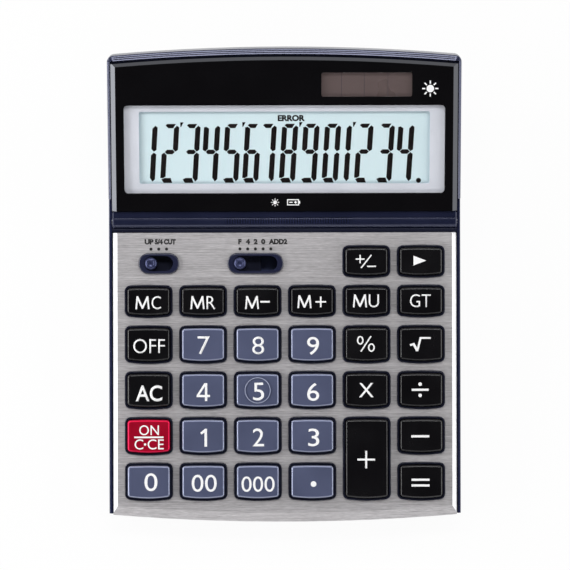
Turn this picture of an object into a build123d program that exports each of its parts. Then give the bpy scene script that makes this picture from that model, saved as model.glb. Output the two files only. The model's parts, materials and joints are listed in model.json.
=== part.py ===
from build123d import *
import math
import os

# Desk calculator with a tilting display head, in millimetres and degrees.
# +X runs to the right, +Y to the rear (the display end) and +Z up. The origin lies on the desk,
# under the middle of the overall box.
# The keyboard deck is a tilted plane: x across, v up its slope from the front edge, w out of it.
# The display head has a plane of its own through the hinge axis: p away from the hinge, q out of it.

# Body
body_width = 149.3
front_bow = 3.2  # how far the front edge bows out over the body width
deck_length = 122.8  # face plate, from its front edge to its rear edge
deck_slope = 5.0
deck_front_height = 13.0  # deck plane above the desk at the front edge
base_length = 188.0  # front edge of the deck to the rear wall, up the slope

# Lower case
case_wall = 1.3
case_floor = 2.0
rim_drop = 1.6  # top of the side walls below the deck plane
front_setback = 0.5  # front wall behind the front edge of the face plate
front_wall_gap = 0.2  # front wall below the folded edge of the face plate
rear_corner = 6.0
floor_edge_radius = 1.2
rim_radius = 0.5
foot_height = 1.5
foot_recess = 0.8
foot_diameter = 10.0
foot_fit = 0.1
foot_edge_radius = 0.5
foot_inset_x = 12.0  # foot centre from the side of the body
foot_inset_front = 12.0
foot_inset_rear = 12.0

# Face plate
plate_thickness = 0.8
plate_gap = 0.35  # between the plate and the side walls
plate_end_gap = 0.1  # between the plate and the hinge lip
side_fold = 2.0  # folded side edges, as wide as they are deep
front_fold_length = 4.0
front_fold_drop = 2.4
plate_skirt = 3.0  # lowest edge of the folds below the deck plane

# Upper case
upper_wall = 1.8
upper_fit = 0.2  # to the walls of the lower case
plate_fit = 0.1  # inside the folds of the face plate
collar_wall = 0.85
collar_height = 0.7
collar_fit = 0.05
collar_radius = 0.25

# Keys
column_count = 6
full_row_count = 4
key_side_inset = 16.9  # middle of an outer column from the side of the body
key_side_spacing = 5.3  # between the keys of a row
key_row_spacing = 5.5  # between the keys of a column
front_row_inset = 17.2  # middle of the first row from the front edge
memory_row_step = 18.3  # memory row behind the last full row
memory_row_inset = 29.1  # from the rear edge of the face plate
top_row_inset = 12.3
small_key_depth = 11.5
key_height = 2.6  # key top above the face plate
key_travel = 1.5
key_gap = 0.45  # between a key and its collar
key_corner = 1.3
key_front_bow = 0.75
key_rear_bow = 0.25
key_edge_radius = 0.9
key_wall = 1.2
key_flange = 1.2  # how far the retaining flange reaches past the key's side
key_flange_thickness = 1.0
key_seat_gap = 0.1  # flange below the upper case
key_plunger_diameter = 5.0
guide_ring_diameter = 11.2  # raised ring on the middle key
guide_ring_width = 0.5
guide_ring_height = 0.3

# Key mat and main board
dome_collapsed = 0.9  # what is left of a dome under a pressed key
dome_diameter = 8.0
dome_taper = 15.0
dome_gap = 0.1  # under the key's plunger
mat_thickness = 0.8
board_side_margin = 4.5  # mat and board inside the face plate
board_thickness = 1.2
board_front = 9.0
board_rear_inset = 3.8  # from the rear edge of the face plate
chip_x = 34.0
chip_row = 60.0
chip_diameter = 14.0
chip_height = 1.6
chip_edge_radius = 0.8

# Slide switches
switch_inset = 13.0  # from the rear edge of the face plate
rounding_side = 21.25  # from the left side of the body
rounding_travel = 6.6
decimal_side = 62.25
decimal_travel = 13.1
ring_wall = 2.6  # at the ends of the slot
ring_side_wall = 1.25
ring_height = 1.0
ring_radius = 0.6
knob_diameter = 5.2
knob_end_gap = 0.15
knob_side_gap = 0.6
knob_height = 2.2  # knob top above the face plate
knob_dish_diameter = 2.9
knob_dish_depth = 0.42
knob_edge_radius = 1.2
shutter_length = 17.9
shutter_lap = 0.8  # past the sides of the slot
shutter_thickness = 0.8
slider_gap = 0.1  # shutter below the upper case
stem_length = 8.0
stem_width = 4.0
rail_gap = 0.2
rail_width = 1.0
rail_depth = 1.4
wiper_thickness = 0.3
wiper_width = 2.4
wiper_height = 1.2
wiper_length = 6.8
wiper_splay = 1.0  # each foot past the end of the flat
wiper_gap = 0.1  # above the main board

# Case screws
screw_diameter = 2.2
screw_head_diameter = 4.2
screw_head_height = 1.6
screw_grip = 3.8  # thread length in its boss
screw_hole_fit = 0.2
thread_fit = 0.05
pilot_depth = 0.4  # pilot hole past the screw's tip
screw_ledge = 2.0  # plastic under the screw head
boss_diameter = 5.0
tube_diameter = 7.0
mat_hole_fit = 0.5
drive_slot_width = 0.7
drive_slot_depth = 0.8
drive_slot_share = 0.7  # of the head's diameter
rear_screw_inset_x = 12.0
rear_screw_inset = 14.0
rear_boss_length = 5.0

# Battery compartment
cell_x = 0.0
cell_inset = 23.8  # cell centre from the rear edge of the face plate
cell_diameter = 11.6
cell_thickness = 5.4
cell_rim = 1.6  # step between the can and the cap
cell_cap_height = 0.6
cell_fit = 0.3
cell_seat_gap = 0.1
cup_wall = 1.4
cup_rise = 0.8  # cup above the cell
door_length = 27.0
door_width = 18.0
door_thickness = 1.2
door_fit = 0.2
door_corner = 1.5
door_screw_offset = 11.0  # beside the cell, along the door
door_boss_diameter = 4.6
door_boss_height = 3.6
door_screw_diameter = 1.6
door_screw_head_diameter = 3.0
door_screw_head_height = 0.7
door_screw_length = 4.4
contact_thickness = 0.3
contact_width = 4.0
contact_reach = 3.5  # leaf on each side of the cell's middle
contact_gap = 0.05
contact_notch_fit = 0.6

# Hinge
lip_length = 1.7
lip_chamfer = 0.4
barrel_reveal = 3.1  # hinge axis behind the lip
barrel_radius = 4.0
barrel_rise = 0.4  # top of the barrel above the deck plane
barrel_end_gap = 0.3
barrel_end_chamfer = 0.5
groove_radius = 0.3
groove_angles = (62.0, 115.0)  # on the barrel, up from the head's plane
trough_gap = 0.4
trough_wall = 1.6
trough_end_angle = -70.0
shelf_gap = 0.5  # head above the shelf when it is folded flat
ear_radius = 9.6
ear_gap = 0.4
pin_diameter = 3.0
pin_engagement = 8.5  # in its bush
pin_fit = 0.05
pin_chamfer = 0.3
bush_diameter = 5.0
bush_length = 9.0

# Display head
head_tilt = 10.0  # head against the deck as it stands
head_length = 73.85  # hinge axis to the rear edge
head_bow = 3.2
head_corner = 2.8
head_front = 4.6  # front wall from the hinge axis
head_below = 8.0  # back face below the hinge axis
head_wall = 2.0
head_rim_drop = 1.0  # rim below the face of the panel
head_rim_slope_length = 2.6  # the rim falls away to the outside
head_rim_slope_drop = 1.2
head_rim_radius = 0.7
edge_pick = 0.01  # play in finding edges by their height
head_back_radius = 1.6
side_rim = 1.1
rear_rim = 2.2
rear_groove_insets = (0.75, 1.45)
rear_groove_width = 0.35
rear_groove_depth = 0.15
web_bottom = -2.4
panel_face = 4.4  # panel face above the hinge axis
panel_thickness = 2.5
panel_front = 5.0
panel_side_gap = 0.45  # open joint between the panel and the rim
panel_rear_gap = 1.2
panel_side_bevel_length = 1.9
panel_side_bevel_drop = 1.3
panel_rear_bevel_length = 1.3
panel_rear_bevel_drop = 0.9
panel_ledge = 2.4
panel_ledge_thickness = 1.5
back_cover_thickness = 1.8
back_cover_fit = 0.15
back_cover_chamfer = 0.6

# Display stack
display_front = 12.7  # silver frame from the hinge axis
display_side = 6.95  # silver frame from the side of the body
display_gap = 3.65  # between the silver frame and the solar cell
display_corner = 1.6
window_thickness = 1.2
window_gap = 0.1  # between a window and what lies behind it
bezel_lap = 1.2  # frame behind the panel, past the opening
bezel_thickness = 1.0
bezel_fit = 0.2
lcd_side_border = 6.3  # silver frame beside the liquid-crystal cell
lcd_front_border = 3.9
lcd_rear_border = 2.7
lcd_corner = 0.8
lcd_lap = 2.0
lcd_thickness = 2.0
connector_height = 2.4
connector_width = 2.2
connector_inset = 0.4  # from the edge of the liquid-crystal cell
window_fit = 0.05
display_board_thickness = 1.2
display_board_margin = 3.0  # past the liquid-crystal cell
board_post_diameter = 4.0
board_post_side = 25.0  # from the side of the body
board_post_inset = 6.0  # from the edges of the display board
head_boss_diameter = 5.4
head_boss_inset = 2.4  # boss centre inside the side wall
head_screw_front = 17.0  # from the hinge axis
head_screw_rear = 14.4  # from the rear edge
head_screw_diameter = 2.0
head_screw_head_diameter = 3.8
head_screw_head_height = 1.0
head_screw_length = 6.0
solar_side = 39.95  # solar cell's middle from the right side of the body
solar_inset = 15.12  # solar cell's middle from the rear edge
solar_width = 38.2
solar_height = 10.15
solar_corner = 0.8
solar_window_thickness = 1.0
solar_lap = 0.8
solar_thickness = 1.0

# Ribbon cable
ribbon_width = 18.0
ribbon_thickness = 0.3
ribbon_slot_fit = 0.7
ribbon_side_fit = 1.0
ribbon_bend = 1.0
ribbon_drop = 1.2  # under the trough
ribbon_lap = 7.0  # soldered length on each board
ribbon_dip = 2.6  # run between the boards and the slots

# Levels out of the deck plane
half_width = body_width / 2
upper_top = -plate_thickness - plate_fit
upper_bottom = upper_top - upper_wall
flange_top = upper_bottom - key_seat_gap
flange_bottom = flange_top - key_flange_thickness
dome_top = flange_bottom - dome_gap
dome_height = key_travel + dome_collapsed
mat_top = dome_top - dome_height
board_top = mat_top - mat_thickness
board_bottom = board_top - board_thickness
floor_top = foot_height + case_floor

# Hinge axis and planes
slope = math.radians(deck_slope)
tilt = math.radians(head_tilt)
head_angle = slope + tilt
hinge_v = deck_length + plate_end_gap + lip_length + barrel_reveal
hinge_w = barrel_rise - barrel_radius
hinge_reach = hinge_v * math.cos(slope) - hinge_w * math.sin(slope)
front_reach = front_fold_drop * math.sin(slope)
rear_reach = hinge_reach + head_length * math.cos(head_angle)
rear_reach += (head_below - head_back_radius) * math.sin(head_angle)
deck_y = -(front_reach + rear_reach) / 2

deck = Plane(
    origin=(0, deck_y, deck_front_height),
    x_dir=(1, 0, 0),
    z_dir=(0, -math.sin(slope), math.cos(slope)),
)
hinge_point = deck.from_local_coords((0, hinge_v, hinge_w))
head = Plane(
    origin=hinge_point,
    x_dir=(1, 0, 0),
    z_dir=(0, -math.sin(head_angle), math.cos(head_angle)),
)
# Side views through the hinge axis, one along the deck and one along the head
deck_side = Plane(origin=hinge_point, x_dir=deck.y_dir, z_dir=(1, 0, 0))
head_side = Plane(origin=hinge_point, x_dir=head.y_dir, z_dir=(1, 0, 0))
deck_axis = Axis(deck.origin, deck.z_dir)
slope_axis = Axis(deck.origin, deck.y_dir)
head_axis = Axis(head.origin, head.z_dir)
along_head = Axis(head.origin, head.y_dir)

# Places seen from the hinge axis, along the deck and out of it
deck_level = -hinge_w
rim_level = deck_level - rim_drop
shelf_level = -head_below - shelf_gap
rear_v = base_length - hinge_v
front_v = -hinge_v
trough_radius = barrel_radius + trough_gap
trough_outer = trough_radius + trough_wall
case_inner = half_width - case_wall
plate_half = case_inner - plate_gap
upper_half = case_inner - upper_fit
upper_inset = plate_thickness + plate_fit
barrel_half = case_inner - barrel_end_gap
front_radius = (half_width**2 + front_bow**2) / (2 * front_bow)
rear_radius = (half_width**2 + head_bow**2) / (2 * head_bow)
base_depth = (deck_front_height + base_length * math.sin(slope)) / math.cos(slope)

# Display openings, from the hinge axis
solar_x = half_width - solar_side
solar_centre = head_length - solar_inset
display_rear = solar_centre - solar_height / 2 - display_gap
display_centre = (display_front + display_rear) / 2
display_height = display_rear - display_front
display_width = body_width - 2 * display_side
lcd_opening_width = display_width - 2 * lcd_side_border
lcd_opening_height = display_height - lcd_front_border - lcd_rear_border
lcd_opening_centre = display_centre + (lcd_front_border - lcd_rear_border) / 2
head_screw_rows = (head_screw_front, head_length - head_screw_rear)
board_post_x = half_width - board_post_side

# Places on the deck, across and up the slope
key_pitch = (body_width - 2 * key_side_inset) / (column_count - 1)
key_width = key_pitch - key_side_spacing
memory_row = deck_length - memory_row_inset
top_row = deck_length - top_row_inset
row_pitch = (memory_row - memory_row_step - front_row_inset) / (full_row_count - 1)
key_depth = row_pitch - key_row_spacing
board_rear = deck_length - board_rear_inset
cell_row = deck_length - cell_inset
switch_row = deck_length - switch_inset
rounding_x = rounding_side - half_width
decimal_x = decimal_side - half_width

# Key table: name, place across, place up the slope, depth
columns = [(n - (column_count - 1) / 2) * key_pitch for n in range(column_count)]
rows = [front_row_inset + n * row_pitch for n in range(full_row_count)]
key_rows = [
    (rows[0], key_depth, ["0", "00", "000", "point", None, "equals"]),
    (rows[1], key_depth, ["on_clear", "1", "2", "3", None, "minus"]),
    (rows[2], key_depth, ["ac", "4", "5", "6", "multiply", "divide"]),
    (rows[3], key_depth, ["off", "7", "8", "9", "percent", "root"]),
    (memory_row, small_key_depth, ["mc", "mr", "m_minus", "m_plus", "mu", "gt"]),
    (top_row, small_key_depth, [None, None, None, None, "plus_minus", "backspace"]),
]
keys = [
    (name, x, v, depth)
    for v, depth, names in key_rows
    for x, name in zip(columns, names)
    if name is not None
]
keys.append(("plus", columns[4], (rows[0] + rows[1]) / 2, key_depth + row_pitch))

# Screws stand between the flanges of four keys, and under the rear shelf
screw_x = 2 * key_pitch
middle_gap = (rows[1] + rows[2]) / 2
memory_gap = (rows[3] + key_depth / 2 + memory_row - small_key_depth / 2) / 2
deck_screws = [(x, v) for x in (-screw_x, screw_x) for v in (middle_gap, memory_gap)]
rear_screw_x = half_width - rear_screw_inset_x
rear_screw_v = base_length - rear_screw_inset
rear_screws = [(-rear_screw_x, rear_screw_v), (rear_screw_x, rear_screw_v)]
deck_seat = board_bottom - screw_ledge
rear_joint = hinge_w + shelf_level - upper_wall - rear_boss_length
rear_seat = rear_joint - screw_ledge - board_thickness
screw_shank = screw_ledge + board_thickness + screw_grip
foot_x = half_width - foot_inset_x
foot_spots = [
    (x, v) for x in (-foot_x, foot_x) for v in (foot_inset_front, base_length - foot_inset_rear)
]
switches = [
    ("rounding", rounding_x, rounding_travel),
    ("decimal", decimal_x, decimal_travel),
]
slot_width = knob_diameter + 2 * knob_side_gap
shutter_width = slot_width + 2 * shutter_lap


def on_circle(radius, degrees):
    """Point of a circle round the hinge axis, in a side view."""
    angle = math.radians(degrees)
    return (radius * math.cos(angle), radius * math.sin(angle))


def hinge_arc(radius, start, end):
    """Arc round the hinge axis in a side view, between two angles in degrees."""
    middle = on_circle(radius, (start + end) / 2)
    return ThreePointArc(on_circle(radius, start), middle, on_circle(radius, end))


def level_at(height, v):
    """Level out of the deck, at a place up its slope, of a height above the desk."""
    return (height - deck_front_height - v * math.sin(slope)) / math.cos(slope)


def desk_y(v, height):
    """Y of the point that lies below a place of the deck, along w, at a height above the desk."""
    return deck.from_local_coords((0, v, level_at(height, v))).Y


def key_plan(depth, grow=0.0):
    """Plan of a key with bowed front and rear edges, grown by a margin all round."""
    side = key_width / 2
    front = -depth / 2
    rear = depth / 2
    with BuildSketch() as plan:
        with BuildLine():
            left = Line((-side, rear - key_rear_bow), (-side, front + key_front_bow))
            ThreePointArc(left @ 1, (0, front), (side, front + key_front_bow))
            right = Line((side, front + key_front_bow), (side, rear - key_rear_bow))
            ThreePointArc(right @ 1, (0, rear), left @ 0)
        make_face()
        fillet(plan.vertices(), key_corner)
        if grow > 0:
            offset(amount=grow)
    return plan.sketch


def keyboard_plan(grow):
    """All the keys' plans, each in its place on the deck."""
    with BuildSketch() as plan:
        for _, x, v, depth in keys:
            with Locations((x, v)):
                add(key_plan(depth, grow))
    return plan.sketch


def switch_plan(end_wall=0.0, side_wall=0.0):
    """Slots of the two switches, grown into their rings by a wall at the ends and sides."""
    with BuildSketch() as plan:
        for _, x, travel in switches:
            slot_length = travel + knob_diameter + 2 * knob_end_gap
            with Locations((x, switch_row)):
                SlotOverall(slot_length + 2 * end_wall, slot_width + 2 * side_wall)
    return plan.sketch


def bowed_plan(half, inset, rear):
    """Deck outline with a bowed front edge, its front set back by inset, up to the place rear."""
    bow = front_radius - inset
    corner = front_radius - math.sqrt(bow**2 - half**2)
    with BuildSketch() as plan:
        with BuildLine():
            left = Line((-half, rear), (-half, corner))
            ThreePointArc(left @ 1, (0, inset), (half, corner))
            Polyline((half, corner), (half, rear), left @ 0)
        make_face()
    return plan.sketch


def folded_block(inset):
    """Block under the deck with the face plate's folds, inset for the sheet's thickness."""
    side_lean = side_fold + inset * (math.sqrt(2) - 2)
    slant = math.hypot(front_fold_length, front_fold_drop)
    front_lean = front_fold_length + inset * ((slant - front_fold_length) / front_fold_drop - 1)
    front_drop = front_fold_drop + inset * ((slant - front_fold_drop) / front_fold_length - 1)
    with BuildPart() as block:
        with BuildSketch(deck.offset(-inset)):
            add(bowed_plan(plate_half - inset, inset, deck_length))
        extrude(amount=inset - plate_skirt)
        top = block.faces().sort_by(deck_axis)[-1]
        chamfer(top.edges().filter_by(GeomType.CIRCLE), front_lean, front_drop, reference=top)
        top = block.faces().sort_by(deck_axis)[-1]
        chamfer(top.edges().filter_by(slope_axis), side_lean)
    return block.part


def head_plan(half, rear_inset, front, corner=0.0):
    """Head outline from the place front to the bowed rear edge, which is set in by rear_inset."""
    bow = rear_radius - rear_inset
    centre = head_length - rear_radius
    rear_corner_p = centre + math.sqrt(bow**2 - half**2)
    with BuildSketch() as plan:
        with BuildLine():
            left = Line((-half, rear_corner_p), (-half, front))
            base = Line(left @ 1, (half, front))
            right = Line(base @ 1, (half, rear_corner_p))
            ThreePointArc(right @ 1, (0, head_length - rear_inset), left @ 0)
        make_face()
        if corner > 0:
            fillet(plan.vertices().group_by(Axis.Y)[-1], corner)
    return plan.sketch


def export(builder, name):
    """Label a finished piece and write it."""
    builder.part.label = name
    export_step(builder.part, f"parts/{name}.step")


os.makedirs("parts", exist_ok=True)

# Face plate: folded sheet with a hole for each collar and switch ring
with BuildPart() as face_plate:
    add(folded_block(0))
    add(folded_block(plate_thickness), mode=Mode.SUBTRACT)
    with BuildSketch(deck):
        add(keyboard_plan(key_gap + collar_wall + collar_fit))
        add(switch_plan(ring_wall + collar_fit, ring_side_wall + collar_fit))
    extrude(amount=-plate_skirt, mode=Mode.SUBTRACT)
export(face_plate, "face_plate")


# Upper case: slab under the face plate, then the hinge lip, the trough and the rear shelf
shelf_rear = rear_v - case_wall - upper_fit
slab_top = deck_level + upper_top
slab_bottom = deck_level + upper_bottom
lip_front = -barrel_reveal - lip_length
lip_angle = math.degrees(math.acos(-barrel_reveal / trough_radius))
slab_angle = 180 - math.degrees(math.asin(slab_bottom / trough_outer))
trough_end = on_circle(trough_radius, trough_end_angle)[0]
trough_foot = trough_end - upper_wall
heel_angle = 270 + math.degrees(math.asin(trough_foot / trough_outer))
ribbon_level = -trough_outer - ribbon_drop
ribbon_slot = ribbon_thickness + 2 * ribbon_slot_fit
shelf_bottom = hinge_w + shelf_level - upper_wall
rail_spread = shutter_width / 2 + rail_gap + rail_width / 2
with BuildPart() as deck_slab:
    add(folded_block(upper_inset))
    with BuildSketch(deck.offset(upper_bottom)):
        add(bowed_plan(plate_half - upper_inset - upper_wall, upper_inset + upper_wall, deck_length))
    extrude(amount=-plate_skirt, mode=Mode.SUBTRACT)

with BuildPart() as upper_case:
    with BuildSketch(deck_side):
        with BuildLine():
            inside = hinge_arc(trough_radius, lip_angle, 360 + trough_end_angle)
            outside = hinge_arc(trough_outer, heel_angle, slab_angle)
            Polyline(
                outside @ 1,
                ((outside @ 1).X, slab_top),
                (lip_front, slab_top),
                (lip_front, deck_level),
                (-barrel_reveal - lip_chamfer, deck_level),
                (-barrel_reveal, deck_level - lip_chamfer),
                inside @ 0,
            )
            Polyline(
                inside @ 1,
                (trough_end, shelf_level),
                (shelf_rear, shelf_level),
                (shelf_rear, shelf_level - upper_wall),
                (trough_foot, shelf_level - upper_wall),
                outside @ 0,
            )
        make_face()
    extrude(amount=upper_half, both=True)
    rear_edges = upper_case.edges().filter_by(deck_axis).group_by(slope_axis)[-1]
    fillet(rear_edges, rear_corner - case_wall - upper_fit)
    # Room for the folded sides of the face plate
    with BuildSketch(deck.offset(-plate_skirt - front_wall_gap)):
        fold_room = upper_half - plate_half + upper_inset + side_fold
        for side in (-upper_half, upper_half):
            with Locations((side, deck_length + plate_end_gap)):
                Rectangle(2 * fold_room, trough_outer, align=(Align.CENTER, Align.MAX))
    extrude(amount=plate_skirt + front_wall_gap, mode=Mode.SUBTRACT)
    add(deck_slab.part)
    # Key collars and switch rings
    with BuildSketch(deck.offset(upper_top)):
        add(keyboard_plan(key_gap + collar_wall))
    extrude(amount=collar_height - upper_top)
    fillet(upper_case.faces().group_by(deck_axis)[-1].edges(), collar_radius)
    with BuildSketch(deck.offset(upper_top)):
        add(switch_plan(ring_wall, ring_side_wall))
    extrude(amount=ring_height - upper_top)
    fillet(upper_case.faces().group_by(deck_axis)[-1].edges(), ring_radius)
    # Openings for the keys and the knobs
    with BuildSketch(deck.offset(upper_bottom)):
        add(keyboard_plan(key_gap))
        add(switch_plan())
    extrude(amount=max(collar_height, ring_height) - upper_bottom, mode=Mode.SUBTRACT)
    # Rails that guide the switch shutters
    for _, x, travel in switches:
        with BuildSketch(deck.offset(upper_bottom)):
            with Locations((x, switch_row - rail_spread), (x, switch_row + rail_spread)):
                Rectangle(shutter_length + travel, rail_width)
        extrude(amount=-rail_depth)
    # Screw bosses on the main board and under the shelf
    with BuildSketch(deck.offset(upper_bottom)):
        with Locations(*deck_screws):
            Circle(boss_diameter / 2)
    extrude(amount=board_top - upper_bottom)
    with BuildSketch(deck.offset(shelf_bottom)):
        with Locations(*rear_screws):
            Circle(boss_diameter / 2)
    extrude(amount=-rear_boss_length)
    for level, spots in ((board_top, deck_screws), (rear_joint, rear_screws)):
        with BuildSketch(deck.offset(level)):
            with Locations(*spots):
                Circle(screw_diameter / 2 + thread_fit)
        extrude(amount=screw_grip + pilot_depth, mode=Mode.SUBTRACT)
    # Slot for the ribbon cable, in the wall between the trough and the shelf
    with BuildSketch(deck_side):
        with Locations((trough_end - upper_wall / 2, ribbon_level)):
            Rectangle(2 * upper_wall, ribbon_slot)
    extrude(amount=ribbon_width / 2 + ribbon_side_fit, both=True, mode=Mode.SUBTRACT)
export(upper_case, "upper_case")

# Lower case: open tray whose side walls carry the hinge ears
ear_top_angle = math.degrees(math.asin(rim_level / ear_radius))
ear_foot_angle = math.degrees(math.asin(shelf_level / ear_radius))
front_end = front_v - front_bow
rear_end = rear_v + rear_corner
cup_radius = cell_diameter / 2 + cell_fit + cup_wall
cell_bottom = foot_height + door_thickness + cell_seat_gap
cell_top = cell_bottom + cell_thickness
cell_y = desk_y(cell_row, floor_top)
door_x = cell_x + door_screw_offset / 2
door_screw_x = cell_x + door_screw_offset
contact_x = cell_x + cell_diameter / 2 + contact_gap + contact_thickness / 2


def case_plan(inset):
    """Outline of the lower case, set in by a wall."""
    with BuildSketch() as plan:
        add(bowed_plan(half_width - inset, front_setback + inset, base_length - inset))
        fillet(plan.vertices().group_by(Axis.Y)[-1], rear_corner - inset)
    return plan.sketch


with BuildPart() as case_cavity:
    with BuildSketch(deck):
        add(case_plan(case_wall))
    extrude(amount=-base_depth)
    split(bisect_by=Plane.XY.offset(floor_top), keep=Keep.TOP)

with BuildPart() as lower_case:
    with BuildSketch(deck):
        add(case_plan(0))
    extrude(amount=-base_depth)
    with BuildSketch(deck_side):
        with BuildLine():
            ear = hinge_arc(ear_radius, ear_top_angle, ear_foot_angle)
            Polyline(
                ear @ 1,
                (rear_end, shelf_level),
                (rear_end, level_at(foot_height, rear_end + hinge_v) - hinge_w),
                (front_end, level_at(foot_height, front_end + hinge_v) - hinge_w),
                (front_end, rim_level),
                ear @ 0,
            )
        make_face()
    extrude(amount=half_width, both=True, mode=Mode.INTERSECT)
    fillet(lower_case.faces().sort_by(Axis.Z)[0].edges(), floor_edge_radius)
    outer_side = lower_case.faces().filter_by(Axis.X).edges()
    fillet(outer_side.group_by(Axis.Z)[-1], rim_radius)
    add(case_cavity.part, mode=Mode.SUBTRACT)
    # The front wall stops below the folded edge of the face plate
    with BuildSketch(deck):
        Rectangle(2 * case_inner, 2 * (front_bow + front_fold_length))
    extrude(amount=-plate_skirt - front_wall_gap, mode=Mode.SUBTRACT)
    # Screw tubes from the floor to the main board and to the shelf's bosses
    for level, seat, spots in (
        (board_bottom, deck_seat, deck_screws),
        (rear_joint, rear_seat, rear_screws),
    ):
        for x, v in spots:
            floor_middle = level_at(foot_height + case_floor / 2, v)
            with BuildSketch(deck.offset(level)):
                with Locations((x, v)):
                    Circle(tube_diameter / 2)
            extrude(amount=floor_middle - level)
            with BuildSketch(deck.offset(level)):
                with Locations((x, v)):
                    Circle(screw_diameter / 2 + screw_hole_fit)
            extrude(amount=seat - level, mode=Mode.SUBTRACT)
            with BuildSketch(deck.offset(seat)):
                with Locations((x, v)):
                    Circle(screw_head_diameter / 2 + screw_hole_fit)
            extrude(amount=-base_depth, mode=Mode.SUBTRACT)
    # Recesses for the feet
    with BuildSketch(Plane.XY.offset(foot_height)):
        with Locations(*[(x, desk_y(v, foot_height)) for x, v in foot_spots]):
            Circle(foot_diameter / 2 + foot_fit)
    extrude(amount=foot_recess, mode=Mode.SUBTRACT)
    # Battery cup, door recess and the boss of the door's screw
    with BuildSketch(Plane.XY.offset(floor_top)):
        with Locations((cell_x, cell_y)):
            Circle(cup_radius)
    extrude(amount=cell_top + cup_rise - floor_top)
    with BuildSketch(Plane.XY.offset(floor_top)):
        with Locations((door_screw_x, cell_y)):
            Circle(door_boss_diameter / 2)
    extrude(amount=door_boss_height)
    with BuildSketch(Plane.XY.offset(foot_height)):
        with Locations((door_x, cell_y)):
            RectangleRounded(door_length + 2 * door_fit, door_width + 2 * door_fit, door_corner + door_fit)
    extrude(amount=door_thickness, mode=Mode.SUBTRACT)
    with BuildSketch(Plane.XY.offset(foot_height)):
        with Locations((cell_x, cell_y)):
            Circle(cell_diameter / 2 + cell_fit)
    extrude(amount=cell_top + cup_rise, mode=Mode.SUBTRACT)
    with BuildSketch(Plane.XY.offset(floor_top)):
        with Locations((contact_x, cell_y)):
            Rectangle(contact_thickness + 2 * contact_notch_fit, contact_width + 2 * contact_notch_fit)
    extrude(amount=cell_top + cup_rise, mode=Mode.SUBTRACT)
    with BuildSketch(Plane.XY.offset(foot_height)):
        with Locations((door_screw_x, cell_y)):
            Circle(door_screw_diameter / 2 + thread_fit)
    extrude(amount=door_screw_length + pilot_depth, mode=Mode.SUBTRACT)
    # Hinge pin holes through both ears
    with BuildSketch(deck_side):
        Circle(pin_diameter / 2)
    extrude(amount=half_width, both=True, mode=Mode.SUBTRACT)
export(lower_case, "lower_case")

# Key caps: hollow, with a plunger inside and a flange that holds each under the upper case
for name, x, v, depth in keys:
    with BuildPart() as key:
        with BuildSketch(deck.offset(flange_top)):
            with Locations((x, v)):
                add(key_plan(depth))
        extrude(amount=key_height - flange_top)
        fillet(key.faces().sort_by(deck_axis)[-1].edges(), key_edge_radius)
        with BuildSketch(deck.offset(flange_bottom)):
            with Locations((x, v)):
                add(key_plan(depth, key_flange))
        extrude(amount=key_flange_thickness)
        with BuildSketch(deck.offset(flange_bottom)):
            with Locations((x, v)):
                Rectangle(key_width - 2 * key_wall, depth - 2 * key_wall - 2 * key_front_bow)
                Circle(key_plunger_diameter / 2, mode=Mode.SUBTRACT)
        extrude(amount=key_height - key_wall - flange_bottom, mode=Mode.SUBTRACT)
        if name == "5":
            with BuildSketch(deck.offset(key_height)):
                with Locations((x, v)):
                    Circle(guide_ring_diameter / 2)
                    Circle(guide_ring_diameter / 2 - guide_ring_width, mode=Mode.SUBTRACT)
            extrude(amount=guide_ring_height)
    export(key, f"key_{name}")

# Key mat: a sheet beside the switches, with a dome under each key
board_half = plate_half - board_side_margin
mat_step = (memory_row + small_key_depth / 2 + key_flange + switch_row - rail_spread) / 2
mat_right = columns[4] - key_pitch / 2
with BuildPart() as key_mat:
    with BuildSketch(deck.offset(board_top)):
        with Locations((0, board_front)):
            Rectangle(2 * board_half, mat_step - board_front, align=(Align.CENTER, Align.MIN))
        with Locations((board_half, board_front)):
            Rectangle(board_half - mat_right, board_rear - board_front, align=(Align.MAX, Align.MIN))
        with Locations(*deck_screws):
            Circle(boss_diameter / 2 + mat_hole_fit, mode=Mode.SUBTRACT)
    extrude(amount=mat_thickness)
    with BuildSketch(deck.offset(mat_top)):
        with Locations(*[(x, v) for _, x, v, _ in keys]):
            Circle(dome_diameter / 2)
    extrude(amount=dome_height, taper=dome_taper)
export(key_mat, "key_mat")

# Main board and its chip
with BuildPart() as main_board:
    with BuildSketch(deck.offset(board_bottom)):
        with Locations((0, board_front)):
            Rectangle(2 * board_half, board_rear - board_front, align=(Align.CENTER, Align.MIN))
        with Locations(*deck_screws):
            Circle(screw_diameter / 2 + screw_hole_fit, mode=Mode.SUBTRACT)
    extrude(amount=board_thickness)
export(main_board, "main_board")

with BuildPart() as main_chip:
    with BuildSketch(deck.offset(board_bottom)):
        with Locations((chip_x, chip_row)):
            Circle(chip_diameter / 2)
    extrude(amount=-chip_height)
    fillet(main_chip.faces().sort_by(deck_axis)[0].edges(), chip_edge_radius)
export(main_chip, "main_chip")

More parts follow.
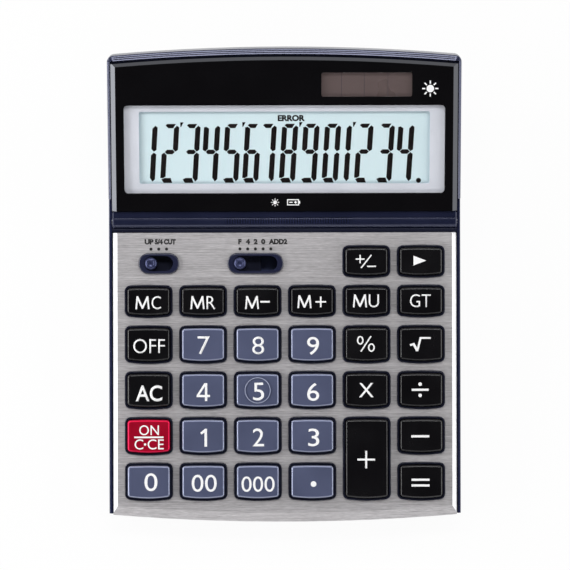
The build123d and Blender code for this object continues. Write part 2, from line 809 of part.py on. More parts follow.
# Slide switches, each at its left stop: knob, shutter and stem, with a wiper under the stem
shutter_top = upper_bottom - slider_gap
shutter_bottom = shutter_top - shutter_thickness
wiper_foot = board_top + wiper_gap
stem_bottom = wiper_foot + wiper_height
wiper_flat = stem_bottom - wiper_thickness / 2
dish_radius = knob_dish_diameter**2 / (8 * knob_dish_depth) + knob_dish_depth / 2
for name, x, travel in switches:
    knob_x = x - travel / 2
    with BuildPart() as slider:
        with BuildSketch(deck.offset(shutter_bottom)):
            with Locations((knob_x, switch_row)):
                Rectangle(shutter_length, shutter_width)
        extrude(amount=shutter_thickness)
        with BuildSketch(deck.offset(shutter_top)):
            with Locations((knob_x, switch_row)):
                Circle(knob_diameter / 2)
        extrude(amount=knob_height - shutter_top)
        fillet(slider.faces().sort_by(deck_axis)[-1].edges(), knob_edge_radius)
        dish_middle = knob_height - knob_dish_depth + dish_radius
        with Locations(deck.from_local_coords((knob_x, switch_row, dish_middle))):
            Sphere(dish_radius, mode=Mode.SUBTRACT)
        with BuildSketch(deck.offset(shutter_bottom)):
            with Locations((knob_x, switch_row)):
                Rectangle(stem_length, stem_width)
        extrude(amount=stem_bottom - shutter_bottom)
    export(slider, f"{name}_slider")

    wiper_side = Plane(
        origin=deck.from_local_coords((knob_x, switch_row, 0)), x_dir=(1, 0, 0), z_dir=-deck.y_dir
    )
    flat_end = wiper_length / 2 - wiper_splay
    with BuildPart() as wiper:
        with BuildSketch(wiper_side):
            with BuildLine():
                Polyline(
                    (-wiper_length / 2, wiper_foot + wiper_thickness),
                    (-flat_end, wiper_flat),
                    (flat_end, wiper_flat),
                    (wiper_length / 2, wiper_foot + wiper_thickness),
                )
            trace(line_width=wiper_thickness)
        extrude(amount=wiper_width / 2, both=True)
    export(wiper, f"{name}_wiper")

# Case screws: four through the main board and two at the rear, all alike
with BuildPart() as case_screws:
    for seat, spots in ((deck_seat, deck_screws), (rear_seat, rear_screws)):
        with BuildSketch(deck.offset(seat)):
            with Locations(*spots):
                Circle(screw_diameter / 2)
        extrude(amount=screw_shank)
        with BuildSketch(deck.offset(seat)):
            with Locations(*spots):
                Circle(screw_head_diameter / 2)
        extrude(amount=-screw_head_height)
        with BuildSketch(deck.offset(seat - screw_head_height)):
            with Locations(*spots):
                Rectangle(screw_head_diameter * drive_slot_share, drive_slot_width)
                Rectangle(drive_slot_width, screw_head_diameter * drive_slot_share)
        extrude(amount=drive_slot_depth, mode=Mode.SUBTRACT)
export(case_screws, "case_screws")

# Rubber feet
with BuildPart() as rubber_feet:
    with BuildSketch():
        with Locations(*[(x, desk_y(v, foot_height)) for x, v in foot_spots]):
            Circle(foot_diameter / 2)
    extrude(amount=foot_height + foot_recess)
    fillet(rubber_feet.faces().group_by(Axis.Z)[0].edges(), foot_edge_radius)
export(rubber_feet, "rubber_feet")

# Button cell on the battery door, with two contact leaves that hang from the main board
with BuildPart() as button_cell:
    with BuildSketch(Plane.XY.offset(cell_bottom)):
        with Locations((cell_x, cell_y)):
            Circle(cell_diameter / 2)
    extrude(amount=cell_thickness - cell_cap_height)
    with BuildSketch(Plane.XY.offset(cell_bottom)):
        with Locations((cell_x, cell_y)):
            Circle(cell_diameter / 2 - cell_rim)
    extrude(amount=cell_thickness)
export(button_cell, "button_cell")

contact_top = deck_front_height + base_length * math.sin(slope)
with BuildPart() as battery_contacts:
    with BuildSketch(Plane.XZ.offset(-cell_y)):
        with BuildLine():
            leaf_height = cell_top + contact_gap + contact_thickness / 2
            Polyline(
                (cell_x - contact_reach, contact_top),
                (cell_x - contact_reach, leaf_height),
                (cell_x + contact_reach, leaf_height),
            )
        trace(line_width=contact_thickness)
        with Locations((contact_x, floor_top + cell_seat_gap)):
            Rectangle(contact_thickness, contact_top, align=(Align.CENTER, Align.MIN))
    extrude(amount=contact_width / 2, both=True)
    split(bisect_by=deck.offset(board_bottom), keep=Keep.BOTTOM)
export(battery_contacts, "battery_contacts")

with BuildPart() as battery_door:
    with BuildSketch(Plane.XY.offset(foot_height)):
        with Locations((door_x, cell_y)):
            RectangleRounded(door_length, door_width, door_corner)
        with Locations((door_screw_x, cell_y)):
            Circle(door_screw_diameter / 2 + screw_hole_fit, mode=Mode.SUBTRACT)
    extrude(amount=door_thickness)
    with BuildSketch(Plane.XY.offset(foot_height)):
        with Locations((door_screw_x, cell_y)):
            Circle(door_screw_head_diameter / 2 + screw_hole_fit)
    extrude(amount=door_screw_head_height, mode=Mode.SUBTRACT)
export(battery_door, "battery_door")

with BuildPart() as door_screw:
    with BuildSketch(Plane.XY.offset(foot_height)):
        with Locations((door_screw_x, cell_y)):
            Circle(door_screw_head_diameter / 2)
    extrude(amount=door_screw_head_height)
    with BuildSketch(Plane.XY.offset(foot_height)):
        with Locations((door_screw_x, cell_y)):
            Circle(door_screw_diameter / 2)
    extrude(amount=door_screw_length)
    with BuildSketch(Plane.XY.offset(foot_height)):
        with Locations((door_screw_x, cell_y)):
            Rectangle(door_screw_head_diameter * drive_slot_share, drive_slot_width)
    extrude(amount=door_screw_head_height / 2, mode=Mode.SUBTRACT)
export(door_screw, "door_screw")

# Display head: frame with the hinge barrel, open at the back
panel_back = panel_face - panel_thickness
head_rim = panel_face - head_rim_drop
cover_face = -head_below + back_cover_thickness
ledge_bottom = panel_back - panel_ledge_thickness
rim_front = ear_radius + ear_gap  # the side rims start behind the hinge ears
cavity_half = half_width - head_wall
cavity_front = rim_front + head_wall
nose_half = barrel_half - head_wall
nose_front = head_front + head_wall
head_boss_x = cavity_half - head_boss_inset
head_screws_at = [(x, p) for x in (-head_boss_x, head_boss_x) for p in head_screw_rows]
window_back = panel_face - window_thickness
bezel_back = window_back - window_gap - bezel_thickness
lcd_back = bezel_back - lcd_thickness
board_face = lcd_back - connector_height
board_back = board_face - display_board_thickness
lcd_width = lcd_opening_width + 2 * lcd_lap
lcd_height = lcd_opening_height + 2 * lcd_lap
display_board_width = lcd_width + 2 * display_board_margin
display_board_height = lcd_height + 2 * display_board_margin
solar_back = panel_face - solar_window_thickness - window_gap - solar_thickness
ribbon_entry = board_back - ribbon_dip


def cavity_plan(gap):
    """Opening at the back of the head, set in by a gap: wide part and narrow part by the hinge."""
    with BuildSketch() as plan:
        add(head_plan(cavity_half - gap, head_wall + gap, cavity_front + gap))
        with Locations((0, nose_front + gap)):
            Rectangle(2 * (nose_half - gap), cavity_front, align=(Align.CENTER, Align.MIN))
    return plan.sketch


# Hinge barrel with the web that joins it to the head's front wall
with BuildPart() as barrel:
    with BuildSketch(head_side):
        Circle(barrel_radius)
        with Locations((0, web_bottom)):
            Rectangle(head_front, head_rim - web_bottom, align=(Align.MIN, Align.MIN))
    extrude(amount=barrel_half, both=True)
    chamfer(barrel.faces().filter_by(Axis.X).edges(), barrel_end_chamfer)
    with BuildSketch(head_side):
        with Locations(*[on_circle(barrel_radius, angle) for angle in groove_angles]):
            Circle(groove_radius)
    extrude(amount=barrel_half, both=True, mode=Mode.SUBTRACT)

with BuildPart() as head_frame:
    with BuildSketch(head.offset(-head_below)):
        add(head_plan(half_width, 0, head_front, head_corner))
    extrude(amount=head_below + head_rim)
    back = head_frame.faces().sort_by(head_axis)[0]
    fillet(back.edges().sort_by(along_head)[1:], head_back_radius)
    top = head_frame.faces().sort_by(head_axis)[-1]
    rim = top.edges().sort_by(along_head)[1:]
    chamfer(rim, head_rim_slope_length, head_rim_slope_drop, reference=top)
    crest = head_rim - head_rim_slope_drop
    crest_edges = head_frame.edges().filter_by_position(head_axis, crest - edge_pick, crest + edge_pick)
    fillet(crest_edges, head_rim_radius)
    # Grooves along the rear rim
    groove_half = half_width - head_corner
    groove_front = head_length - head_bow - 2 * rear_rim
    for inset in rear_groove_insets:
        with BuildSketch(head.offset(head_rim)):
            add(head_plan(groove_half, inset, groove_front))
            add(head_plan(groove_half, inset + rear_groove_width, groove_front), mode=Mode.SUBTRACT)
        fall = head_rim_slope_drop * (1 - inset / head_rim_slope_length)
        extrude(amount=-fall - rear_groove_depth, mode=Mode.SUBTRACT)
    # Room for the hinge ears
    with BuildSketch(head.offset(-head_below)):
        with Locations((-half_width, 0), (half_width, 0)):
            Rectangle(2 * (half_width - barrel_half), 2 * rim_front)
    extrude(amount=head_below + panel_face, mode=Mode.SUBTRACT)
    # Seat of the panel, the hollow behind it and the ledge between them
    with BuildSketch(head.offset(panel_back)):
        add(head_plan(half_width - side_rim, rear_rim, 0))
    extrude(amount=panel_thickness, mode=Mode.SUBTRACT)
    with BuildSketch(head.offset(-head_below)):
        add(cavity_plan(0))
    extrude(amount=head_below + ledge_bottom, mode=Mode.SUBTRACT)
    with BuildSketch(head.offset(ledge_bottom)):
        ledge_half = half_width - side_rim - panel_ledge
        add(head_plan(ledge_half, rear_rim + panel_ledge, nose_front))
    extrude(amount=panel_ledge_thickness, mode=Mode.SUBTRACT)
    # Screw bosses
    with BuildSketch(head.offset(cover_face)):
        with Locations(*head_screws_at):
            Circle(head_boss_diameter / 2)
    extrude(amount=panel_back - cover_face)
    with BuildSketch(head.offset(cover_face)):
        with Locations(*head_screws_at):
            Circle(head_screw_diameter / 2 + thread_fit)
    extrude(amount=head_screw_length - back_cover_thickness + pilot_depth, mode=Mode.SUBTRACT)
    add(barrel.part)
    for side in (-1, 1):
        with BuildSketch(head_side.offset(side * barrel_half)):
            Circle(bush_diameter / 2)
        extrude(amount=-side * bush_length, mode=Mode.SUBTRACT)
    # Slot for the ribbon cable in the front wall
    with BuildSketch(head_side):
        with Locations((head_front + head_wall / 2, ribbon_entry)):
            Rectangle(2 * head_wall, ribbon_slot)
    extrude(amount=ribbon_width / 2 + ribbon_side_fit, both=True, mode=Mode.SUBTRACT)
export(head_frame, "head_frame")

# Back cover with posts behind the display board
with BuildPart() as head_back_cover:
    with BuildSketch(head.offset(-head_below)):
        add(cavity_plan(back_cover_fit))
    extrude(amount=back_cover_thickness)
    chamfer(head_back_cover.faces().sort_by(head_axis)[0].edges(), back_cover_chamfer)
    with BuildSketch(head.offset(cover_face)):
        with Locations((0, lcd_opening_centre)):
            with GridLocations(2 * board_post_x, display_board_height - 2 * board_post_inset, 2, 2):
                Circle(board_post_diameter / 2)
    extrude(amount=board_back - cover_face)
    with BuildSketch(head.offset(-head_below)):
        with Locations(*head_screws_at):
            Circle(head_screw_head_diameter / 2 + screw_hole_fit)
    extrude(amount=head_screw_head_height, mode=Mode.SUBTRACT)
    with BuildSketch(head.offset(-head_below)):
        with Locations(*head_screws_at):
            Circle(head_screw_diameter / 2 + screw_hole_fit)
    extrude(amount=back_cover_thickness, mode=Mode.SUBTRACT)
export(head_back_cover, "head_back_cover")

with BuildPart() as head_screws:
    with BuildSketch(head.offset(-head_below)):
        with Locations(*head_screws_at):
            Circle(head_screw_head_diameter / 2)
    extrude(amount=head_screw_head_height)
    with BuildSketch(head.offset(-head_below)):
        with Locations(*head_screws_at):
            Circle(head_screw_diameter / 2)
    extrude(amount=head_screw_length)
    with BuildSketch(head.offset(-head_below)):
        with Locations(*head_screws_at):
            Rectangle(head_screw_head_diameter * drive_slot_share, drive_slot_width)
            Rectangle(drive_slot_width, head_screw_head_diameter * drive_slot_share)
    extrude(amount=head_screw_head_height / 2, mode=Mode.SUBTRACT)
export(head_screws, "head_screws")

# Display panel with bevelled sides and rear, and openings for the display and the solar cell
with BuildPart() as display_panel:
    with BuildSketch(head.offset(panel_back)):
        panel_half = half_width - side_rim - panel_side_gap
        add(head_plan(panel_half, rear_rim + panel_rear_gap, panel_front))
    extrude(amount=panel_thickness)
    face = display_panel.faces().sort_by(head_axis)[-1]
    side_edges = face.edges().filter_by(along_head)
    chamfer(side_edges, panel_side_bevel_length, panel_side_bevel_drop, reference=face)
    face = display_panel.faces().sort_by(head_axis)[-1]
    rear_edge = face.edges().sort_by(along_head)[-1]
    chamfer(rear_edge, panel_rear_bevel_length, panel_rear_bevel_drop, reference=face)
    with BuildSketch(head.offset(panel_face)):
        with Locations((0, display_centre)):
            RectangleRounded(display_width, display_height, display_corner)
        with Locations((solar_x, solar_centre)):
            RectangleRounded(solar_width, solar_height, solar_corner)
    extrude(amount=-panel_thickness, mode=Mode.SUBTRACT)
    with BuildSketch(head.offset(panel_back)):
        with Locations((0, display_centre)):
            bezel_room = 2 * (bezel_lap + bezel_fit)
            Rectangle(display_width + bezel_room, display_height + bezel_room)
    extrude(amount=window_back - panel_back, mode=Mode.SUBTRACT)
    with BuildSketch(head.offset(panel_back)):
        with Locations((solar_x, solar_centre)):
            solar_room = 2 * (solar_lap + bezel_fit)
            Rectangle(solar_width + solar_room, solar_height + solar_room)
    extrude(amount=panel_thickness - solar_window_thickness, mode=Mode.SUBTRACT)
export(display_panel, "display_panel")

# Clear windows that fill the panel's openings
with BuildPart() as display_windows:
    play = 2 * window_fit
    with BuildSketch(head.offset(panel_face)):
        with Locations((0, display_centre)):
            RectangleRounded(display_width - play, display_height - play, display_corner)
    extrude(amount=-window_thickness)
    with BuildSketch(head.offset(panel_face)):
        with Locations((solar_x, solar_centre)):
            RectangleRounded(solar_width - play, solar_height - play, solar_corner)
    extrude(amount=-solar_window_thickness)
export(display_windows, "display_windows")

# Silver frame behind the window, and the liquid-crystal cell behind the frame
with BuildPart() as display_bezel:
    with BuildSketch(head.offset(bezel_back)):
        with Locations((0, display_centre)):
            Rectangle(display_width + 2 * bezel_lap, display_height + 2 * bezel_lap)
        with Locations((0, lcd_opening_centre)):
            RectangleRounded(lcd_opening_width, lcd_opening_height, lcd_corner, mode=Mode.SUBTRACT)
    extrude(amount=bezel_thickness)
export(display_bezel, "display_bezel")

with BuildPart() as lcd_cell:
    with BuildSketch(head.offset(lcd_back)):
        with Locations((0, lcd_opening_centre)):
            Rectangle(lcd_width, lcd_height)
    extrude(amount=lcd_thickness)
export(lcd_cell, "lcd_cell")

# Rubber connector strips between the cell and its board
with BuildPart() as lcd_connectors:
    with BuildSketch(head.offset(board_face)):
        with Locations((0, lcd_opening_centre)):
            with GridLocations(0, lcd_height - 2 * connector_inset - connector_width, 1, 2):
                Rectangle(lcd_width, connector_width)
    extrude(amount=connector_height)
export(lcd_connectors, "lcd_connectors")

with BuildPart() as display_board:
    with BuildSketch(head.offset(board_back)):
        with Locations((0, lcd_opening_centre)):
            Rectangle(display_board_width, display_board_height)
    extrude(amount=display_board_thickness)
export(display_board, "display_board")

with BuildPart() as solar_cell:
    with BuildSketch(head.offset(solar_back)):
        with Locations((solar_x, solar_centre)):
            Rectangle(solar_width + 2 * solar_lap, solar_height + 2 * solar_lap)
    extrude(amount=solar_thickness)
export(solar_cell, "solar_cell")

# Hinge pins, held in the ears, and the bushes that turn on them
pin_length = case_wall + barrel_end_gap + pin_engagement
with BuildPart() as hinge_pins:
    for side in (-1, 1):
        with BuildSketch(deck_side.offset(side * half_width)):
            Circle(pin_diameter / 2)
        extrude(amount=-side * pin_length)
    chamfer(hinge_pins.faces().filter_by(Axis.X).edges(), pin_chamfer)
export(hinge_pins, "hinge_pins")

with BuildPart() as hinge_bushes:
    for side in (-1, 1):
        with BuildSketch(head_side.offset(side * barrel_half)):
            Circle(bush_diameter / 2 - pin_fit)
            Circle(pin_diameter / 2 + pin_fit, mode=Mode.SUBTRACT)
        extrude(amount=-side * bush_length)
export(hinge_bushes, "hinge_bushes")

# Ribbon cable from under the main board, below the trough, into the head and to the display board
ribbon_half = ribbon_thickness / 2
main_end = hinge_v - board_rear
board_underside = deck_level + board_bottom - ribbon_half
display_end = lcd_opening_centre - display_board_height / 2
display_underside = board_back - ribbon_half


def from_head(p, q):
    """A place of the head as the deck's side view sees it."""
    return (p * math.cos(tilt) - q * math.sin(tilt), p * math.sin(tilt) + q * math.cos(tilt))


with BuildPart() as display_ribbon:
    with BuildSketch(deck_side):
        with BuildLine():
            FilletPolyline(
                (-main_end - ribbon_lap, board_underside),
                (-main_end, board_underside),
                (-trough_outer, ribbon_level),
                (trough_end + ribbon_dip, ribbon_level),
                from_head(head_front, ribbon_entry),
                from_head(nose_front, ribbon_entry),
                from_head(display_end, display_underside),
                from_head(display_end + ribbon_lap, display_underside),
                radius=ribbon_bend,
            )
        trace(line_width=ribbon_thickness)
    extrude(amount=ribbon_width / 2, both=True)
export(display_ribbon, "display_ribbon")
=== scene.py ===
import json
import math

import bmesh
import bpy
from mathutils import Matrix, Vector


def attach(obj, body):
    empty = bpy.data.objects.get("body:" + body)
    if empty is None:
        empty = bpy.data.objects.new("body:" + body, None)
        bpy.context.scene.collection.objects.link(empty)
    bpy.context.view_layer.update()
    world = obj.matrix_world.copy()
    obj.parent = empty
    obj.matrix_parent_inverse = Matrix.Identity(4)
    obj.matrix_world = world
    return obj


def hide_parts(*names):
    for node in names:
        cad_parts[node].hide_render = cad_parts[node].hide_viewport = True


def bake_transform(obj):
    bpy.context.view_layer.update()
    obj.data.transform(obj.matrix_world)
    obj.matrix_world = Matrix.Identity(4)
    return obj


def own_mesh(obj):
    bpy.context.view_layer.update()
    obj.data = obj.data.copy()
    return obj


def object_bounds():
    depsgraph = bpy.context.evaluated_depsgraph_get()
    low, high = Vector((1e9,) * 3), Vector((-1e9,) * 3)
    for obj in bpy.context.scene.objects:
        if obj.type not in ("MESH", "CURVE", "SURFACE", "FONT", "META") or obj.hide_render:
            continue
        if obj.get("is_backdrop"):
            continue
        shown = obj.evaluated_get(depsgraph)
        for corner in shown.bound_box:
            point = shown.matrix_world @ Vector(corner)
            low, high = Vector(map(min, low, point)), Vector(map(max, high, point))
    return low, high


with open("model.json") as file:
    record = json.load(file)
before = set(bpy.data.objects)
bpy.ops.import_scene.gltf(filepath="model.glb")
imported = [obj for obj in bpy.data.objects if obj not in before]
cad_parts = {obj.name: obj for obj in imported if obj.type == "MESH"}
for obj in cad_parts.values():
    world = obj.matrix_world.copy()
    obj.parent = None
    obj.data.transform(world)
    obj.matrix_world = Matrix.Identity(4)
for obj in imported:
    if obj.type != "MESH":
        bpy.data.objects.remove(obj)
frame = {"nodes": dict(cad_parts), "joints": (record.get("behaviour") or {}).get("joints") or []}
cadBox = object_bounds()
print("frame loaded with", len(frame["nodes"]), "nodes")

# Lengths in this script are millimetres unless a name or note says otherwise
mm = 0.001
nodes = frame["nodes"]
joints = {joint["name"]: joint for joint in frame["joints"]}
across = Vector((1, 0, 0))


def planeMatrix(origin, normal):
    along = normal.cross(across)
    turned = Matrix((across, along, normal)).transposed().to_4x4()
    return Matrix.Translation(origin) @ turned


# Keyboard deck, from the way the keys travel and the edges of the face plate
deckNormal = -Vector(joints["key_5_press"]["axis"]).normalized()
deckAlong = deckNormal.cross(across)
platePoints = [vertex.co for vertex in nodes["face_plate"].data.vertices]
deckLevel = max(point.dot(deckNormal) for point in platePoints)
deckFront = min(point.dot(deckAlong) for point in platePoints)
deckPlane = planeMatrix(deckAlong * deckFront + deckNormal * deckLevel, deckNormal)

# Display head, through the hinge
headTilt = math.radians(10)  # against the deck
headNormal = Matrix.Rotation(headTilt, 3, "X") @ deckNormal
headPlane = planeMatrix(Vector(joints["display_tilt"]["pos_m"]), headNormal)


def localBox(node, plane):
    toPlane = plane.inverted()
    points = [toPlane @ vertex.co / mm for vertex in nodes[node].data.vertices]
    low = Vector([min(point[n] for point in points) for n in range(3)])
    high = Vector([max(point[n] for point in points) for n in range(3)])
    return low, high


def keyMiddle(key):
    low, high = localBox("key_" + key, deckPlane)
    return (low + high) / 2


# Camera first: it looks straight down on the deck, as the photograph does

cameraView = {
    "distance": 1200,
    "span": 241.85,  # width of the picture at the deck
    "aimX": 0.13,
    "aimV": 100.56,  # up the slope from the front edge
    "roll": 0.12,  # degrees
    "sensor": 36,
    "clip": (50, 20000),
}


def makeCamera(view):
    data = bpy.data.cameras.new("camera")
    data.sensor_width = view["sensor"]
    data.lens = view["sensor"] * view["distance"] / view["span"]
    data.clip_start, data.clip_end = [distance * mm for distance in view["clip"]]
    camera = bpy.data.objects.new("camera", data)
    bpy.context.scene.collection.objects.link(camera)
    aim = Matrix.Translation(Vector((view["aimX"], view["aimV"], view["distance"])) * mm)
    camera.matrix_world = deckPlane @ aim @ Matrix.Rotation(math.radians(-view["roll"]), 4, "Z")
    bpy.context.scene.camera = camera


makeCamera(cameraView)
bpy.context.scene.view_settings.view_transform = "Standard"
print("camera placed")


# Node helpers for the materials


def linearChannel(value):
    # from the 0 to 255 of a colour picker to linear light
    share = value / 255
    return share / 12.92 if share <= 0.04045 else ((share + 0.055) / 1.055) ** 2.4


def paint(red, green, blue):
    return (linearChannel(red), linearChannel(green), linearChannel(blue), 1)


def newMaterial(name):
    material = bpy.data.materials.new(name)
    material.use_nodes = True
    return material, material.node_tree, material.node_tree.nodes["Principled BSDF"]


def addNode(tree, kind, **settings):
    node = tree.nodes.new(kind)
    for setting, value in settings.items():
        setattr(node, setting, value)
    return node


def addNoise(tree, coordinate, scale, detail=2, roughness=0.5):
    noise = addNode(tree, "ShaderNodeTexNoise")
    noise.inputs["Scale"].default_value = scale
    noise.inputs["Detail"].default_value = detail
    noise.inputs["Roughness"].default_value = roughness
    tree.links.new(coordinate, noise.inputs["Vector"])
    return noise


def addMath(tree, operation, first, second):
    node = addNode(tree, "ShaderNodeMath", operation=operation)
    tree.links.new(first, node.inputs[0])
    tree.links.new(second, node.inputs[1])
    return node.outputs["Value"]


def addDot(tree, vector, axis):
    dot = addNode(tree, "ShaderNodeVectorMath", operation="DOT_PRODUCT")
    dot.inputs[1].default_value = axis
    tree.links.new(vector, dot.inputs[0])
    return dot.outputs["Value"]


def addRange(tree, value, low, high, fromLow=0.3, fromHigh=0.7):
    # the values of a noise lie mostly between 0.3 and 0.7
    ranged = addNode(tree, "ShaderNodeMapRange")
    ranged.inputs["From Min"].default_value = fromLow
    ranged.inputs["From Max"].default_value = fromHigh
    ranged.inputs["To Min"].default_value = low
    ranged.inputs["To Max"].default_value = high
    tree.links.new(value, ranged.inputs["Value"])
    return ranged.outputs["Result"]


def mixColours(tree, share, first, second):
    # first is a colour or the socket of one
    mix = addNode(tree, "ShaderNodeMix", data_type="RGBA")
    if isinstance(first, bpy.types.NodeSocket):
        tree.links.new(first, mix.inputs["A"])
    else:
        mix.inputs["A"].default_value = first
    mix.inputs["B"].default_value = second
    tree.links.new(share, mix.inputs["Factor"])
    return mix.outputs["Result"]


def mixShaders(tree, share, first, second):
    mix = addNode(tree, "ShaderNodeMixShader")
    tree.links.new(share, mix.inputs["Fac"])
    tree.links.new(first, mix.inputs[1])
    tree.links.new(second, mix.inputs[2])
    tree.links.new(mix.outputs["Shader"], tree.nodes["Material Output"].inputs["Surface"])


def addBump(tree, principled, height, strength, distance):
    bump = addNode(tree, "ShaderNodeBump")
    bump.inputs["Strength"].default_value = strength
    bump.inputs["Distance"].default_value = distance * mm
    tree.links.new(height, bump.inputs["Height"])
    tree.links.new(bump.outputs["Normal"], principled.inputs["Normal"])


def makeGrainGroup():
    # moulded grain and a slow drift of tone, shared by the moulded and painted finishes
    group = bpy.data.node_groups.new("mouldedGrain", "ShaderNodeTree")
    group.interface.new_socket("Grain Scale", in_out="INPUT", socket_type="NodeSocketFloat")
    group.interface.new_socket("Drift Scale", in_out="INPUT", socket_type="NodeSocketFloat")
    group.interface.new_socket("Grain", in_out="OUTPUT", socket_type="NodeSocketFloat")
    group.interface.new_socket("Drift", in_out="OUTPUT", socket_type="NodeSocketFloat")
    entry = group.nodes.new("NodeGroupInput")
    leave = group.nodes.new("NodeGroupOutput")
    coordinate = group.nodes.new("ShaderNodeTexCoord").outputs["Object"]
    for socket, detail in (("Grain", 2), ("Drift", 4)):
        noise = addNoise(group, coordinate, 1, detail)
        group.links.new(entry.outputs[socket + " Scale"], noise.inputs["Scale"])
        group.links.new(noise.outputs["Fac"], leave.inputs[socket])
    return group


grainGroup = makeGrainGroup()

# Cosines against the deck's normal: a painted highlight pales an edge from level to turned, but not on
# upright sides
edgeHighlightFacing = {"level": 0.98, "turned": 0.85, "leaning": 0.5, "upright": 0.25}


def addEdgeHighlight(tree, colour, edge, level=edgeHighlightFacing["level"], turned=edgeHighlightFacing["turned"]):
    facing = addDot(tree, addNode(tree, "ShaderNodeTexCoord").outputs["Normal"], deckNormal)
    pale = addRange(tree, facing, 1, 0, turned, level)
    sloping = addRange(tree, facing, 0, 1, edgeHighlightFacing["upright"], edgeHighlightFacing["leaning"])
    return mixColours(tree, addMath(tree, "MULTIPLY", pale, sloping), colour, edge)


def addZone(tree, colour, zone):
    # another tone where the place along each of the zone's axes is past its limit
    place = addNode(tree, "ShaderNodeTexCoord").outputs["Object"]
    share = None
    for axis, limit in zone["limits"]:
        past = addRange(tree, addDot(tree, place, axis), 0, 1, limit * mm, (limit + zone["fade"]) * mm)
        share = addMath(tree, "MULTIPLY", share, past) if share else past
    return mixColours(tree, share, colour, zone["tone"])


# What a finish has unless it says otherwise
# Drift and grain are noise scales per metre, and depth is the grain's height
plainFinish = {
    "drift": 60, "bump": 0.2, "depth": 0.02, "metallic": 0, "shine": 0.5, "tint": (1, 1, 1, 1),
}


def makeMoulded(name, special):
    finish = plainFinish | special
    material, tree, principled = newMaterial(name)
    grain = addNode(tree, "ShaderNodeGroup", node_tree=grainGroup)
    grain.inputs["Grain Scale"].default_value = finish["grain"]
    grain.inputs["Drift Scale"].default_value = finish["drift"]
    drift = grain.outputs["Drift"]
    colour = mixColours(tree, addRange(tree, drift, 0, 1), finish["dark"], finish["light"])
    if "edge" in finish:
        colour = addEdgeHighlight(tree, colour, finish["edge"])
    if "zone" in finish:
        colour = addZone(tree, colour, finish["zone"])
    tree.links.new(colour, principled.inputs["Base Color"])
    tree.links.new(addRange(tree, drift, *finish["roughness"]), principled.inputs["Roughness"])
    addBump(tree, principled, grain.outputs["Grain"], finish["bump"], finish["depth"])
    principled.inputs["Metallic"].default_value = finish["metallic"]
    principled.inputs["Specular IOR Level"].default_value = finish["shine"]
    principled.inputs["Specular Tint"].default_value = finish["tint"]
    return material


# Painted light on the slide switches: the rings are painted paler than the key collars as a painted
# highlight, and the slides painted darker than their knobs as a painted shade in the slots
deckFrontLine = deckFront / mm
switchRingHighlight = {
    "tone": paint(33, 36, 60),
    "fade": 0.2,
    "limits": [
        (deckAlong, deckFrontLine + 101.5),  # behind the memory keys
        (-deckAlong, -deckFrontLine - 118),  # in front of the hinge lip
        (-across, -12),  # left of the two keys in that row
    ],
}
slidePlateShade = {
    "tone": paint(44, 47, 66),
    "fade": 0.2,
    "limits": [(-deckNormal, -deckLevel / mm + 0.2)],  # below the face of the plate
}

